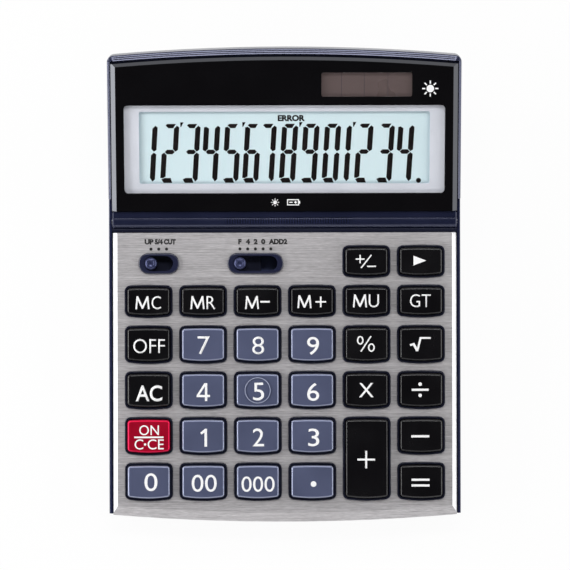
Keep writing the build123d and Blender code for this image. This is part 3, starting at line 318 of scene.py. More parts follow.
mouldedFinishes = {
    "navyPlastic": {
        "dark": paint(28, 32, 57), "light": paint(33, 37, 64), "roughness": (0.16, 0.22), "grain": 2600,
        "shine": 0.8, "tint": paint(222, 226, 255),
    },
    "headPlastic": {
        "dark": paint(24, 28, 50), "light": paint(28, 32, 56), "roughness": (0.2, 0.26), "grain": 2600,
        "shine": 1, "tint": paint(222, 226, 255),
    },
    "collarPlastic": {
        "dark": paint(19, 21, 38), "light": paint(23, 26, 44), "roughness": (0.18, 0.26), "grain": 2600,
        "shine": 0.8, "zone": switchRingHighlight,
    },
    "knobPlastic": {
        "dark": paint(58, 63, 98), "light": paint(65, 70, 107), "roughness": (0.26, 0.32), "grain": 2600,
        "metallic": 0.5, "bump": 0.05, "zone": slidePlateShade,
    },
    # Its edge colour is a painted highlight on the rounded top edges of the grey keys
    "greyKey": {
        "dark": paint(94, 101, 132), "light": paint(100, 107, 139), "roughness": (0.4, 0.46), "grain": 3800,
        "metallic": 0.5, "edge": paint(152, 158, 182),
    },
    "blackKey": {
        "dark": paint(9, 8, 11), "light": paint(13, 12, 15), "roughness": (0.2, 0.3), "grain": 3800,
    },
    # Its edge colour is a painted highlight on the rounded top edge of the red key
    "redKey": {
        "dark": paint(178, 1, 40), "light": paint(188, 2, 46), "roughness": (0.38, 0.46), "grain": 3800,
        "metallic": 0.5, "shine": 0.3, "edge": paint(240, 14, 78),
    },
    "panelGloss": {
        "dark": paint(10, 9, 11), "light": paint(13, 12, 14), "roughness": (0.04, 0.09), "grain": 900,
        "bump": 0.02, "tint": paint(240, 244, 255),
    },
    "silverPaint": {
        "dark": paint(213, 216, 225), "light": paint(221, 224, 233), "roughness": (0.4, 0.5), "grain": 5200,
        "metallic": 0.05,
    },
    # A painted highlight for the top of the guide ring on the middle key
    "ringHighlight": {
        "dark": paint(152, 158, 182), "light": paint(160, 166, 190), "roughness": (0.4, 0.46),
        "grain": 3800,
    },
    "legendInk": {
        "dark": paint(248, 248, 249), "light": paint(253, 253, 253), "roughness": (0.45, 0.55),
        "grain": 5200,
    },
    "plateInk": {
        "dark": paint(14, 13, 15), "light": paint(20, 19, 20), "roughness": (0.45, 0.55), "grain": 5200,
    },
    "segmentInk": {
        "dark": paint(12, 8, 8), "light": paint(18, 12, 12), "roughness": (0.5, 0.6), "grain": 2600,
        "shine": 0.1,
    },
    "lcdGlass": {
        "dark": paint(214, 234, 240), "light": paint(218, 238, 243), "roughness": (0.3, 0.36), "grain": 900,
        "bump": 0.02, "drift": 25,
    },
    "solarFilm": {
        "dark": paint(94, 81, 80), "light": paint(100, 87, 86), "roughness": (0.25, 0.35), "grain": 4200,
        "drift": 30, "bump": 0.05,
    },
    "solarLine": {
        "dark": paint(62, 54, 60), "light": paint(70, 60, 66), "roughness": (0.3, 0.4), "grain": 2600,
    },
    "siliconeMat": {
        "dark": paint(150, 152, 156), "light": paint(165, 167, 170), "roughness": (0.55, 0.7),
        "grain": 1800,
    },
    "boardLacquer": {
        "dark": paint(84, 94, 140), "light": paint(92, 103, 152), "roughness": (0.3, 0.45), "grain": 2200,
    },
    "chipResin": {
        "dark": paint(14, 14, 15), "light": paint(22, 22, 23), "roughness": (0.3, 0.5), "grain": 1600,
    },
    "contactBrass": {
        "dark": paint(196, 160, 84), "light": paint(214, 180, 104), "roughness": (0.22, 0.34),
        "grain": 2600, "metallic": 1,
    },
    "screwSteel": {
        "dark": paint(146, 148, 152), "light": paint(172, 174, 178), "roughness": (0.26, 0.4),
        "grain": 3000, "metallic": 1,
    },
    "cellSteel": {
        "dark": paint(182, 184, 186), "light": paint(206, 208, 210), "roughness": (0.18, 0.28),
        "grain": 3000, "metallic": 1,
    },
    "footRubber": {
        "dark": paint(24, 24, 26), "light": paint(34, 34, 36), "roughness": (0.7, 0.85), "grain": 1500,
        "bump": 0.4, "depth": 0.04,
    },
    "ribbonFilm": {
        "dark": paint(170, 172, 178), "light": paint(192, 194, 198), "roughness": (0.35, 0.5),
        "grain": 1200,
    },
}
finishes = {name: makeMoulded(name, finish) for name, finish in mouldedFinishes.items()}


plateBrushing = {
    "dark": paint(138, 135, 138),
    "light": paint(229, 226, 228),
    # The fold colour is a painted highlight: the folded sides turn near white, standing in for the lamps
    # they reflect
    "foldHighlight": paint(250, 250, 252),
    "foldHighlightFacing": (0.85, 0.72),  # cosines between which the folded sides turn pale
    "lineScale": (45, 3600, 3600),  # streaks across the plate, per metre
    "hairScale": (300, 6500, 6500),
    "streakDetail": 3,
    "streakRoughness": 0.6,
    "streakSpan": (0.6, 1.4),  # of the two kinds of streaks added up
    "roughness": (0.34, 0.46),
    "metallic": 0.3,
    "bump": 0.35,
    "depth": 0.012,
}


def addStreaks(tree, brushing, scale):
    mapping = addNode(tree, "ShaderNodeMapping")
    mapping.inputs["Scale"].default_value = scale
    tree.links.new(addNode(tree, "ShaderNodeTexCoord").outputs["Object"], mapping.inputs["Vector"])
    detail = (brushing["streakDetail"], brushing["streakRoughness"])
    return addNoise(tree, mapping.outputs["Vector"], 1, *detail).outputs["Fac"]


def makeBrushed(name, brushing):
    material, tree, principled = newMaterial(name)
    lines = addStreaks(tree, brushing, brushing["lineScale"])
    hairs = addStreaks(tree, brushing, brushing["hairScale"])
    height = addRange(tree, addMath(tree, "ADD", lines, hairs), 0, 1, *brushing["streakSpan"])
    colour = mixColours(tree, height, brushing["dark"], brushing["light"])
    colour = addEdgeHighlight(tree, colour, brushing["foldHighlight"], *brushing["foldHighlightFacing"])
    tree.links.new(colour, principled.inputs["Base Color"])
    tree.links.new(addRange(tree, height, *brushing["roughness"], 0, 1), principled.inputs["Roughness"])
    addBump(tree, principled, height, brushing["bump"], brushing["depth"])
    principled.inputs["Metallic"].default_value = brushing["metallic"]
    return material


windowPlastic = {"ior": 1.3, "roughness": 0}


def makeWindow(name, plastic):
    # lamps reach the display through the window, which the eye sees as glossy clear plastic
    material, tree, principled = newMaterial(name)
    principled.inputs["Base Color"].default_value = (1, 1, 1, 1)
    principled.inputs["Roughness"].default_value = plastic["roughness"]
    principled.inputs["IOR"].default_value = plastic["ior"]
    principled.inputs["Transmission Weight"].default_value = 1
    lightPath = addNode(tree, "ShaderNodeLightPath")
    rays = [lightPath.outputs[ray] for ray in ("Is Shadow Ray", "Is Diffuse Ray")]
    clear = addNode(tree, "ShaderNodeBsdfTransparent")
    passing = addMath(tree, "MAXIMUM", *rays)
    mixShaders(tree, passing, principled.outputs["BSDF"], clear.outputs["BSDF"])
    return material


# Painted shade: the liquid crystal's colour darkens towards the edge of its opening, which lies inside the
# silver frame, standing in for the frame's shadow
displayBorderShade = {"side": 7.5, "front": 5.1, "rear": 3.9, "fade": 1.5, "colour": paint(176, 196, 203)}


def shadeBorder(material, border):
    low, high = localBox("display_bezel", headPlane)
    low += Vector((border["side"], border["front"], 0))
    high -= Vector((border["side"], border["rear"], 0))
    toMiddle = (headPlane @ Matrix.Translation((low + high) / 2 * mm)).inverted()
    tree = material.node_tree
    mapping = addNode(tree, "ShaderNodeMapping")
    mapping.inputs["Location"].default_value = toMiddle.to_translation()
    mapping.inputs["Rotation"].default_value = toMiddle.to_euler()
    tree.links.new(addNode(tree, "ShaderNodeTexCoord").outputs["Object"], mapping.inputs["Vector"])
    outward = addNode(tree, "ShaderNodeVectorMath", operation="ABSOLUTE")
    tree.links.new(mapping.outputs["Vector"], outward.inputs[0])
    room = addNode(tree, "ShaderNodeVectorMath", operation="SUBTRACT")
    room.inputs[0].default_value = (high - low) / 2 * mm
    tree.links.new(outward.outputs["Vector"], room.inputs[1])
    split = addNode(tree, "ShaderNodeSeparateXYZ")
    tree.links.new(room.outputs["Vector"], split.inputs["Vector"])
    nearest = addMath(tree, "MINIMUM", split.outputs["X"], split.outputs["Y"])
    share = addRange(tree, nearest, 1, 0, 0, border["fade"] * mm)
    baseColor = tree.nodes["Principled BSDF"].inputs["Base Color"]
    shaded = mixColours(tree, share, baseColor.links[0].from_socket, border["colour"])
    tree.links.new(shaded, baseColor)


shadeBorder(finishes["lcdGlass"], displayBorderShade)
finishes["brushedPlate"] = makeBrushed("brushedPlate", plateBrushing)
finishes["clearWindow"] = makeWindow("clearWindow", windowPlastic)

greyKeys = ["0", "00", "000", "point", "1", "2", "3", "4", "5", "6", "7", "8", "9"]
redKeys = ["on_clear"]
finishNodes = {
    "navyPlastic": ["lower_case", "battery_door"],
    "headPlastic": ["head_frame", "head_back_cover"],
    "collarPlastic": ["upper_case"],
    "knobPlastic": ["rounding_slider", "decimal_slider"],
    "brushedPlate": ["face_plate"],
    "greyKey": ["key_" + name for name in greyKeys],
    "redKey": ["key_" + name for name in redKeys],
    "panelGloss": ["display_panel"],
    "clearWindow": ["display_windows"],
    "silverPaint": ["display_bezel"],
    "lcdGlass": ["lcd_cell"],
    "solarFilm": ["solar_cell"],
    "siliconeMat": ["key_mat", "lcd_connectors"],
    "boardLacquer": ["main_board", "display_board"],
    "chipResin": ["main_chip"],
    "contactBrass": ["battery_contacts", "rounding_wiper", "decimal_wiper", "hinge_bushes"],
    "screwSteel": ["case_screws", "head_screws", "door_screw", "hinge_pins"],
    "cellSteel": ["button_cell"],
    "footRubber": ["rubber_feet"],
}
finishNodes["blackKey"] = [
    name for name in nodes
    if name.startswith("key_") and name != "key_mat"
    and name not in finishNodes["greyKey"] + finishNodes["redKey"]
]


def dress(node, material):
    for slot in nodes[node].material_slots:
        slot.material = material


for finish, dressed in finishNodes.items():
    for node in dressed:
        dress(node, finishes[finish])
print("materials on the CAD nodes")


# Printed and moulded pieces, drawn flat in millimetres and set on a plane

dotCorners = 32
ringCorners = 64
printWeld = 0.0005
letterCurve = 5  # steps along each curve of a letter


def addPiece(name, bm, plane, body, finish):
    bmesh.ops.recalc_face_normals(bm, faces=bm.faces)
    mesh = bpy.data.meshes.new(name)
    bm.to_mesh(mesh)
    bm.free()
    mesh.transform(plane @ Matrix.Scale(mm, 4))
    mesh.materials.append(finishes[finish])
    piece = bpy.data.objects.new(name, mesh)
    bpy.context.scene.collection.objects.link(piece)
    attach(piece, body)
    return piece


def drawPolygon(bm, points):
    bm.faces.new([bm.verts.new((x, y, 0)) for x, y in points])


def drawOutlines(bm, loops):
    # an outline and the holes in it
    edges = []
    for loop in loops:
        corners = [bm.verts.new((x, y, 0)) for x, y in loop]
        edges += [bm.edges.new(pair) for pair in zip(corners, corners[1:] + corners[:1])]
    bmesh.ops.triangle_fill(bm, edges=edges, use_beauty=True)


def drawBar(bm, width, height, x, y, turn=0):
    place = Matrix.Translation((x, y, 0)) @ Matrix.Rotation(math.radians(turn), 4, "Z")
    scale = Matrix.Diagonal((width, height, 1, 1))
    bmesh.ops.create_grid(bm, x_segments=1, y_segments=1, size=0.5, matrix=place @ scale)


def drawDot(bm, diameter, x, y):
    place = Matrix.Translation((x, y, 0))
    bmesh.ops.create_circle(bm, cap_ends=True, radius=diameter / 2, segments=dotCorners, matrix=place)


def drawRing(bm, width, height, line, x, y):
    edges = set()
    for inset in (0, line):
        scale = Matrix.Diagonal((width / 2 - inset, height / 2 - inset, 1, 1))
        place = Matrix.Translation((x, y, 0)) @ scale
        circle = bmesh.ops.create_circle(bm, radius=1, segments=ringCorners, matrix=place)
        edges.update(edge for vertex in circle["verts"] for edge in vertex.link_edges)
    bmesh.ops.bridge_loops(bm, edges=list(edges))


def drawCross(bm, width, height, line, x, y):
    wide = width / 2
    tall = height / 2
    half = line / 2
    corners = [
        (-wide, -half), (-half, -half), (-half, -tall), (half, -tall), (half, -half), (wide, -half),
        (wide, half), (half, half), (half, tall), (-half, tall), (-half, half), (-wide, half),
    ]
    drawPolygon(bm, [(x + offset, y + rise) for offset, rise in corners])


def drawText(bm, text, width, height, x, y, weight=0):
    data = bpy.data.curves.new("lettering", "FONT")
    data.body = text
    data.offset = weight
    data.resolution_u = letterCurve
    letters = bpy.data.objects.new("lettering", data)
    bpy.context.scene.collection.objects.link(letters)
    bpy.context.view_layer.update()
    mesh = bpy.data.meshes.new_from_object(letters)
    bpy.data.objects.remove(letters)
    spread = [[vertex.co[n] for vertex in mesh.vertices] for n in range(2)]
    middle = [(min(values) + max(values)) / 2 for values in spread]
    size = [max(values) - min(values) for values in spread]
    fit = Matrix.Diagonal((width / size[0], height / size[1], 1, 1))
    centre = Matrix.Translation((-middle[0], -middle[1], 0))
    mesh.transform(Matrix.Translation((x, y, 0)) @ fit @ centre)
    bm.from_mesh(mesh)
    bpy.data.meshes.remove(mesh)


def letterM(width):
    # its legs keep their shape at any width
    half = [(width / 2 - 0.3, 0.2), (1, 3.9), (0.7, 0), (0, 0), (0.5, 5.5), (1.18, 5.5)]
    return half + [(width / 2, 1.4)] + [(width - u, v) for u, v in reversed(half)]


# Figures and signs with an outline of their own, fitted to their size as lettering is
glyphs = {
    "1": [[(2.9, 0), (2.9, 7.6), (2.02, 7.6), (0, 5.9), (0.55, 5.1), (1.8, 6), (1.8, 0)]],
    "4": [
        [
            (0.62, 0), (0.8, 0), (0.8, 0.22), (1, 0.22), (1, 0.35), (0.8, 0.35), (0.8, 1), (0.58, 1),
            (0, 0.33), (0, 0.22), (0.62, 0.22),
        ],
        [(0.62, 0.35), (0.62, 0.82), (0.2, 0.35)],
    ],
    "M": [letterM(6.0)],
    "narrow M": [letterM(5.9)],
    "root": [[
        (0, 3), (1.9, 3.6), (3.1, 1.4), (4.2, 6), (8.9, 6), (8.9, 5.25), (4.9, 5.25), (3.6, 0),
        (2.7, 0), (1.4, 2.5), (0.2, 2.2),
    ]],
    "arrow": [[(0, 0), (1, 0.5), (0, 1)]],
}


def drawGlyph(bm, name, width, height, x, y):
    # an outline starts at 0, so its greatest values are its size
    wide, tall = [max(values) for values in zip(*glyphs[name][0])]
    drawOutlines(bm, [
        [(x + width * (u / wide - 0.5), y + height * (v / tall - 0.5)) for u, v in loop]
        for loop in glyphs[name]
    ])


def raisePrint(bm, level, thickness, sunk=0.02):
    # turns the flat drawing into a film that stands on level, sunk a little into it
    bmesh.ops.remove_doubles(bm, verts=bm.verts, dist=printWeld)
    bm.normal_update()
    bmesh.ops.reverse_faces(bm, faces=[face for face in bm.faces if face.normal.z < 0])
    bmesh.ops.solidify(bm, geom=bm.faces[:], thickness=thickness + sunk)
    lowest = min(vertex.co.z for vertex in bm.verts)
    bmesh.ops.translate(bm, verts=bm.verts, vec=(0, 0, level - sunk - lowest))


# Key legends: each mark is a kind with its sizes, then its place from the middle of the key
legendFilm = 0.05
digitHeight = 7.6
memoryHeight = 5.5
stroke = 0.94  # of the signs
thin = 0.68
hair = 0.55
fine = -0.006  # added to the strokes of lettering, as bold is
bold = 0.012
legends = {
    "0": [("text", "0", 5.5, digitHeight, 0.95, 0)],
    "00": [("text", "00", 10.6, 7.2, 0.4, -0.5)],
    "000": [("text", "000", 14.0, 6.5, 0.1, -0.9)],
    "point": [("dot", 2.4, 0.5, -0.9)],
    "1": [("glyph", "1", 2.9, digitHeight, 0.2, -0.6)],
    "2": [("text", "2", 4.8, digitHeight, 0.3, -0.5)],
    "3": [("text", "3", 4.7, 7.5, 0.6, -0.6)],
    "4": [("glyph", "4", 5.6, digitHeight, 0.1, -0.7)],
    "5": [("text", "5", 4.7, 7.5, 0.4, -0.5)],
    "6": [("text", "6", 5.1, digitHeight, 0.4, -0.7)],
    "7": [("text", "7", 5.1, digitHeight, 0.3, -0.3, fine)],
    "8": [("text", "8", 5.0, 7.5, 0.3, -0.4, fine)],
    "9": [("text", "9", 5.1, digitHeight, 0.4, -0.6)],
    "equals": [("bar", 7.6, stroke, -0.4, 0.8), ("bar", 7.6, stroke, -0.4, -1.6)],
    "minus": [("bar", 7.7, stroke, -0.5, -0.2)],
    "plus": [("cross", 7.5, 7.4, 0.8, -0.3, -0.3)],
    "multiply": [("text", "X", 6.2, 6.0, -0.2, 0)],
    "divide": [("bar", 7.2, stroke, -0.5, 0.1), ("dot", 1.5, -0.5, 2.5), ("dot", 1.5, -0.5, -2.3)],
    "percent": [
        ("ring", 2.8, 3.7, 0.6, -2.7, 1.7),
        ("bar", 7.8, hair, -0.3, 0.2, 56.5),
        ("ring", 2.9, 3.6, 0.6, 2.0, -1.4),
    ],
    "root": [("glyph", "root", 8.9, 6.0, -0.4, 0)],
    "plus_minus": [
        ("cross", 3.8, 3.6, hair, -2.7, 1.0),
        ("bar", 7.0, hair, -0.1, 0, 51.5),
        ("bar", 3.8, hair, 2.1, -2.1),
    ],
    "backspace": [("glyph", "arrow", 5.4, 4.1, -0.5, 0.3)],
    "on_clear": [
        ("text", "ON", 8.3, 4.2, 0.2, 2.6),
        ("bar", 12.4, thin, 0.1, -0.4),
        ("text", "C", 3.7, 4.3, -4.1, -3.4),
        ("dot", 1.0, -1.5, -3.4),
        ("text", "CE", 6.8, 4.3, 3.0, -3.4),
    ],
    "ac": [("text", "AC", 11.2, 6.8, 0.2, -1.2, bold)],
    "off": [("text", "OFF", 13.4, 6.0, 0.3, -0.6, fine)],
    "mc": [
        ("glyph", "M", 6.0, memoryHeight, -2.5, -0.5),
        ("text", "C", 4.0, memoryHeight, 3.4, -0.5, fine),
    ],
    "mr": [
        ("glyph", "M", 6.0, memoryHeight, -2.3, -0.5),
        ("text", "R", 3.7, memoryHeight, 3.4, -0.5, fine),
    ],
    "m_minus": [("glyph", "narrow M", 5.9, memoryHeight, -2.3, -0.5), ("bar", 4.0, 0.75, 3.2, -0.2)],
    "m_plus": [("glyph", "M", 6.0, memoryHeight, -3.2, -0.2), ("cross", 4.5, 4.5, 0.65, 3.7, -0.3)],
    "mu": [
        ("glyph", "M", 6.0, memoryHeight, -2.8, 0.1),
        ("text", "U", 4.3, memoryHeight, 3.1, 0.1, fine),
    ],
    "gt": [("text", "GT", 8.8, memoryHeight, -0.3, 0.1, fine)],
}
drawers = {
    "text": drawText,
    "glyph": drawGlyph,
    "bar": drawBar,
    "dot": drawDot,
    "ring": drawRing,
    "cross": drawCross,
}
keyTop = localBox("key_0", deckPlane)[1].z  # the middle key's own box reaches up to its ring

for key, marks in legends.items():
    middle = keyMiddle(key)
    bm = bmesh.new()
    for kind, *sizes in marks:
        drawers[kind](bm, *sizes)
    raisePrint(bm, keyTop, legendFilm)
    bmesh.ops.translate(bm, verts=bm.verts, vec=(middle.x, middle.y, 0))
    addPiece("legend_" + key, bm, deckPlane, "key_" + key, "legendInk")
print("key legends printed:", len(legends))


# Painted highlight on the top of the raised ring that guides a finger to the middle key

guideRingHighlight = {"diameter": 11, "line": 0.35, "film": 0.02}


def makeGuideRingHighlight(ring):
    middle = keyMiddle("5")
    top = localBox("key_5", deckPlane)[1].z
    bm = bmesh.new()
    drawRing(bm, ring["diameter"], ring["diameter"], ring["line"], middle.x, middle.y)
    raisePrint(bm, top, ring["film"])
    addPiece("guide_ring_highlight", bm, deckPlane, "key_5", "ringHighlight")


makeGuideRingHighlight(guideRingHighlight)


# Key mat: a sheet, and a dome under each key

keyMat = {"domeHeight": 2.4, "domeReach": 5, "collapsed": 0.9}
nodeWeld = 0.01


def copyNode(node):
    # a node's mesh is loose triangles, which are merged here
    bm = bmesh.new()
    bm.from_mesh(nodes[node].data)
    bmesh.ops.remove_doubles(bm, verts=bm.verts, dist=nodeWeld * mm)
    return bm


def cutOut(whole, wanted):
    # a closed copy of the wanted faces
    bm = whole.copy()
    bm.faces.index_update()
    bmesh.ops.delete(bm, geom=[face for face in bm.faces if face.index not in wanted], context="FACES")
    bmesh.ops.holes_fill(bm, edges=[edge for edge in bm.edges if edge.is_boundary], sides=0)
    return bm


def makeKeyMat(plan):
    whole = copyNode("key_mat")
    whole.transform(Matrix.Scale(1 / mm, 4) @ deckPlane.inverted())
    whole.faces.index_update()
    sheetTop = max(vertex.co.z for vertex in whole.verts) - plan["domeHeight"]
    standing = [
        face for face in whole.faces
        if max(vertex.co.z for vertex in face.verts) > sheetTop + nodeWeld
    ]
    for key in legends:
        foot = keyMiddle(key)
        foot.z = sheetTop
        faces = {
            face.index for face in standing
            if (face.calc_center_median() - foot).xy.length < plan["domeReach"]
        }
        bm = cutOut(whole, faces)
        dome = addPiece("mat_dome_" + key, bm, deckPlane, "base", "siliconeMat")
        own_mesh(dome)
    flat = {face.index for face in whole.faces} - {face.index for face in standing}
    sheet = addPiece("mat_sheet", cutOut(whole, flat), deckPlane, "base", "siliconeMat")
    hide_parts("key_mat")
    whole.free()


makeKeyMat(keyMat)
print("key mat made")


# Scales of the two slide switches, printed on the plate
# Each word has its place from the middle stop, and its width

switchScales = {
    "rounding": {
        "knob": -56.7,  # middle of the knob at rest
        "stops": 3,
        "words": [("UP", -4.1, 3.8), ("5/4", 0, 3.4), ("CUT", 4.7, 5.1)],
    },
    "decimal": {
        "knob": -18.95,
        "stops": 5,
        "words": [("F", -6.6, 1.4), ("4", -3.2, 1.8), ("2", 0.1, 1.7), ("0", 3.3, 1.8), ("ADD2", 9.6, 7.9)],
    },
}
scalePrint = {
    "wordHeight": 2.3,
    "wordRow": 119.0,  # up the slope from the front edge
    "wordWeight": 0.065,
    "dotRow": 115.9,
    "dotSize": 1.3,
    "film": 0.03,
}


def makeScale(switch, scale, style):
    travel = joints[switch + "_slide"]["range_m"][1] / mm
    bm = bmesh.new()
    for word, place, width in scale["words"]:
        x = scale["knob"] + travel / 2 + place
        drawText(bm, word, width, style["wordHeight"], x, style["wordRow"], style["wordWeight"])
    for stop in range(scale["stops"]):
        x = scale["knob"] + travel * stop / (scale["stops"] - 1)
        drawDot(bm, style["dotSize"], x, style["dotRow"])
    raisePrint(bm, 0, style["film"])
    addPiece(switch + "_scale", bm, deckPlane, "base", "plateInk")


for switch, scale in switchScales.items():
    makeScale(switch, scale, scalePrint)
print("switch scales printed")


# Display segments on the front of the liquid-crystal cell, drawn about the middle of a digit

segments = {
    "a": [(-2.4, 11.25), (-1.7, 11.9), (1.9, 11.9), (0.9, 10.1), (-1.15, 10.1)],
    "b": [(2.43, 11.15), (3.43, 10.4), (3.43, 0.9), (2.33, 0.15), (1.23, 1.3), (1.23, 9.9)],
    "c": [(2.33, -0.25), (3.43, -1), (3.43, -11.6), (2.43, -12.65), (1.23, -11), (1.23, -1.4)],
    "d": [(-2.95, -11.7), (-1.7, -11.1), (0.95, -11.1), (1.75, -13.2), (-1.9, -13.2)],
    "e": [(-2.33, -0.25), (-3.43, -1), (-3.43, -11.1), (-2.33, -11.2), (-1.23, -10.5), (-1.23, -1.4)],
    "f": [(-2.43, 10.7), (-3.43, 10.4), (-3.43, 0.9), (-2.33, 0.15), (-1.23, 1.3), (-1.23, 9.9)],
    "g": [(-2.12, 0), (-1.21, 0.95), (1.21, 0.95), (2.12, 0), (1.21, -0.95), (-1.21, -0.95)],
    "tick": [(3.9, 10.6), (4.2, 10.6), (5.1, 12.6), (3.7, 12.6)],
}
digitSegments = {
    "0": "abcdef", "1": "bc", "2": "abged", "3": "abgcd", "4": "fgbc", "5": "afgcd", "6": "afgcde",
    "7": "abc", "8": "abcdefg", "9": "abcdfg",
}
# From the middle of the digit before it
digitAdvance = {
    "1": 4.6, "2": 9.1, "3": 9.0, "4": 8.3, "5": 8.9, "6": 8.5, "7": 6.5, "8": 9.05, "9": 9.0, "0": 9.1,
}
readout = {
    "digits": "12345678901234",
    "firstX": -57.57,  # middle of the first digit
    "row": 30.1,  # middle bar, from the hinge
    "slant": 3.6,  # degrees
    "ticks": (1, 4, 7, 10),  # digits followed by a thousands tick
    "point": {"size": 2.1, "x": 5.9, "y": -12.3},  # from the middle of the last digit
    "word": {"text": "ERROR", "width": 11.5, "height": 2.65, "x": 2.95, "row": 44.4, "weight": 0.05},
    "film": 0.03,
}


def makeReadout(plan):
    lean = math.tan(math.radians(plan["slant"]))
    bm = bmesh.new()
    middle = plan["firstX"]
    for place, digit in enumerate(plan["digits"]):
        if place > 0:
            middle += digitAdvance[digit]
        lit = list(digitSegments[digit])
        if place in plan["ticks"]:
            lit.append("tick")
        for segment in lit:
            drawPolygon(bm, [(middle + x + lean * y, plan["row"] + y) for x, y in segments[segment]])
    point = plan["point"]
    drawDot(bm, point["size"], middle + point["x"], plan["row"] + point["y"])
    word = plan["word"]
    drawText(bm, word["text"], word["width"], word["height"], word["x"], word["row"], word["weight"])
    face = localBox("lcd_cell", headPlane)[1].z
    raisePrint(bm, face, plan["film"])
    addPiece("display_readout", bm, headPlane, "display_head", "segmentInk")


makeReadout(readout)


# Solar cell: dividing lines on its film

solarLines = {"places": (-10.65, -1.05, 8.9), "width": 0.25, "margin": 0.5, "film": 0.03}


def makeSolarLines(plan):
    low, high = localBox("solar_cell", headPlane)
    middle = (low + high) / 2
    length = high.y - low.y - 2 * plan["margin"]
    bm = bmesh.new()
    for place in plan["places"]:
        drawBar(bm, plan["width"], length, middle.x + place, middle.y)
    raisePrint(bm, high.z, plan["film"])
    addPiece("solar_lines", bm, headPlane, "display_head", "solarLine")


makeSolarLines(solarLines)


# Power pictograms on the panel: a sun beside the solar cell, and a sun with a battery under the display

sunSign = {"disc": 3.2, "rays": 8, "rayMiddle": 2.75, "rayLength": 1.3, "rayWidth": 0.55}
batterySign = {
    "width": 5.0,
    "height": 2.6,
    "line": 0.4,
    "pole": {"width": 0.5, "height": 1.2},
    "minus": {"width": 1.4, "x": -0.9},
    "plus": {"width": 1.2, "x": 1.1},
}
pictograms = {
    "suns": [(61.4, 57.0, 1.0), (-4.0, 8.8, 0.5)],  # place and scale
    "battery": (3.6, 8.8),
    "film": 0.04,
}


def drawSun(bm, sun, x, y, scale):
    drawDot(bm, sun["disc"] * scale, x, y)
    reach = sun["rayMiddle"] * scale
    for ray in range(sun["rays"]):
        angle = 2 * math.pi * ray / sun["rays"]
        ends = (x + reach * math.cos(angle), y + reach * math.sin(angle))
        drawBar(bm, sun["rayLength"] * scale, sun["rayWidth"] * scale, *ends, math.degrees(angle))


def drawBattery(bm, battery, x, y):
    line = battery["line"]
    frames = []
    for inset in (0, line):
        left, right = [x + side * (battery["width"] / 2 - inset) for side in (-1, 1)]
        low, high = [y + side * (battery["height"] / 2 - inset) for side in (-1, 1)]
        frames.append([(left, low), (right, low), (right, high), (left, high)])
    drawOutlines(bm, frames)
    pole = battery["pole"]
    drawBar(bm, pole["width"], pole["height"], x + (battery["width"] + pole["width"]) / 2, y)
    minus = battery["minus"]
    drawBar(bm, minus["width"], line, x + minus["x"], y)
    plus = battery["plus"]
    drawCross(bm, plus["width"], plus["width"], line, x + plus["x"], y)


def makePictograms(plan):
    bm = bmesh.new()
    for sun in plan["suns"]:
        drawSun(bm, sunSign, *sun)
    drawBattery(bm, batterySign, *plan["battery"])
    face = localBox("display_panel", headPlane)[1].z
    raisePrint(bm, face, plan["film"])
    addPiece("panel_pictograms", bm, headPlane, "display_head", "legendInk")


makePictograms(pictograms)
print("display head dressed")


# Grip ribs along the top of the hinge barrel

barrelRibs = {
    "radius": 4.0,
    "middle": 80,  # degrees round the barrel
    "arc": 2.2,
    "arcCuts": 5,
    "width": 0.45,
    "pitch": 1.1,
    "count": 48,
    "rise": 0.2,
    "centreX": 1.0,
}


def makeBarrelRibs(ribs):
    bm = bmesh.new()
    scale = Matrix.Diagonal((ribs["width"], ribs["arc"], 2 * ribs["rise"], 1))
    for rib in range(ribs["count"]):
        x = ribs["centreX"] + (rib - (ribs["count"] - 1) / 2) * ribs["pitch"]
        bmesh.ops.create_cube(bm, size=1, matrix=Matrix.Translation((x, 0, 0)) @ scale)
    lengthwise = [
        edge for edge in bm.edges
        if abs(edge.verts[0].co.y - edge.verts[1].co.y) > ribs["arc"] / 2
    ]
    bmesh.ops.subdivide_edges(bm, edges=lengthwise, cuts=ribs["arcCuts"])
    for vertex in bm.verts:
        angle = math.radians(ribs["middle"]) + vertex.co.y / ribs["radius"]
        radius = ribs["radius"] + vertex.co.z
        vertex.co.y = radius * math.cos(angle)
        vertex.co.z = radius * math.sin(angle)
    addPiece("barrel_ribs", bm, headPlane, "display_head", "navyPlastic")


makeBarrelRibs(barrelRibs)


# Ribbon cable between the boards


def makeRibbon():
    bm = copyNode("display_ribbon")
    mesh = bpy.data.meshes.new("ribbon_cable")
    bm.to_mesh(mesh)
    bm.free()
    mesh.materials.clear()
    mesh.materials.append(finishes["ribbonFilm"])
    ribbon = bpy.data.objects.new("ribbon_cable", mesh)
    bpy.context.scene.collection.objects.link(ribbon)
    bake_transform(ribbon)
    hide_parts("display_ribbon")


makeRibbon()
print("hinge dressed")


# Stage: pale floor, soft world and five softboxes, in metres

studioFloor = {
    "size": 12,
    "drop": 0.00005,
    "tone": (0.88, 0.88, 0.88, 1),
    "roughness": 0.9,
    "ownWhite": 0.95,  # how much of the floor's white is its own, so that a soft shadow stays
}
studioWorld = {
    "zenith": 0.03,
    "horizon": 1.0,
    "fadeHeight": 0.55,  # share of the way up at which the world has faded to its zenith
}
softboxes = {
    "left": {"at": (-0.7, 0.0, 0.29), "size": (0.9, 0.2), "radiance": 9.4},
    "right": {"at": (0.7, 0.0, 0.29), "size": (0.9, 0.38), "radiance": 2.95},
    "rear": {"at": (0.0, 0.74, 1.17), "size": (1.1, 0.3), "radiance": 7.6},
    "rearLow": {"at": (0.0, 1.08, 0.9), "size": (1.3, 0.2), "radiance": 2.2},
    "front": {"at": (0.0, -0.8, 0.46), "size": (1.2, 0.3), "radiance": 1.6},
}


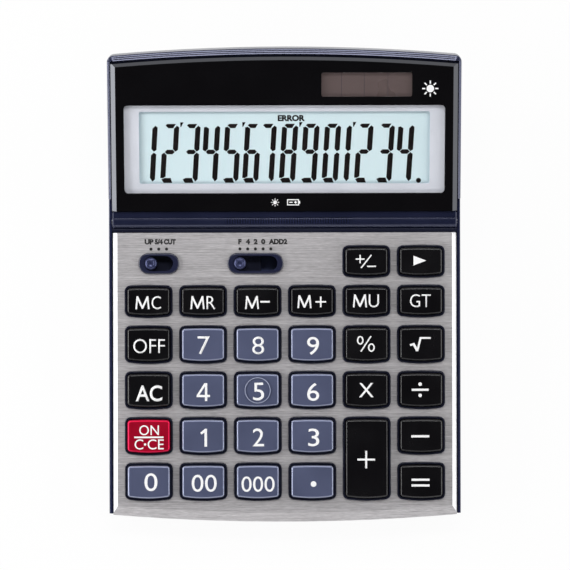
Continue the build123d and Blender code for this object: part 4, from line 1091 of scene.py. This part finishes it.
def makeFloorPaper(plan):
    material, tree, principled = newMaterial("floorPaper")
    principled.inputs["Base Color"].default_value = plan["tone"]
    principled.inputs["Roughness"].default_value = plan["roughness"]
    principled.inputs["Specular IOR Level"].default_value = 0
    white = addNode(tree, "ShaderNodeEmission")
    lightPath = addNode(tree, "ShaderNodeLightPath")
    seen = lightPath.outputs["Is Camera Ray"]
    for ray in ("Is Glossy Ray", "Is Transmission Ray"):
        seen = addMath(tree, "MAXIMUM", seen, lightPath.outputs[ray])
    amount = addRange(tree, seen, 0, plan["ownWhite"], 0, 1)
    mixShaders(tree, amount, principled.outputs["BSDF"], white.outputs["Emission"])
    return material


def makeFloor(plan):
    bm = bmesh.new()
    bmesh.ops.create_grid(bm, x_segments=1, y_segments=1, size=plan["size"] / 2)
    bmesh.ops.translate(bm, verts=bm.verts, vec=(0, 0, -plan["drop"]))
    mesh = bpy.data.meshes.new("floor")
    bm.to_mesh(mesh)
    bm.free()
    mesh.materials.append(makeFloorPaper(plan))
    floor = bpy.data.objects.new("floor", mesh)
    bpy.context.scene.collection.objects.link(floor)
    floor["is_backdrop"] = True


def makeWorld(plan):
    world = bpy.data.worlds.new("studio")
    world.use_nodes = True
    tree = world.node_tree
    direction = addNode(tree, "ShaderNodeSeparateXYZ")
    tree.links.new(addNode(tree, "ShaderNodeTexCoord").outputs["Generated"], direction.inputs["Vector"])
    level = addRange(tree, direction.outputs["Z"], plan["horizon"], plan["zenith"], 0, plan["fadeHeight"])
    tree.links.new(level, tree.nodes["Background"].inputs["Color"])
    bpy.context.scene.world = world


def makeSoftbox(name, box):
    data = bpy.data.lights.new(name, "AREA")
    data.shape = "RECTANGLE"
    data.size, data.size_y = box["size"]
    data.energy = box["radiance"] * math.pi * data.size * data.size_y
    lamp = bpy.data.objects.new(name, data)
    lamp.location = box["at"]
    lamp.visible_camera = False
    lamp.rotation_mode = "QUATERNION"
    lamp.rotation_quaternion = (-Vector(box["at"])).to_track_quat("-Z", "Y")
    bpy.context.scene.collection.objects.link(lamp)


makeFloor(studioFloor)
makeWorld(studioWorld)
for name, box in softboxes.items():
    makeSoftbox(name + "Softbox", box)
print("stage lit")

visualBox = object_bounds()
sizes = {"cad": [list(corner) for corner in cadBox], "visual": [list(corner) for corner in visualBox]}
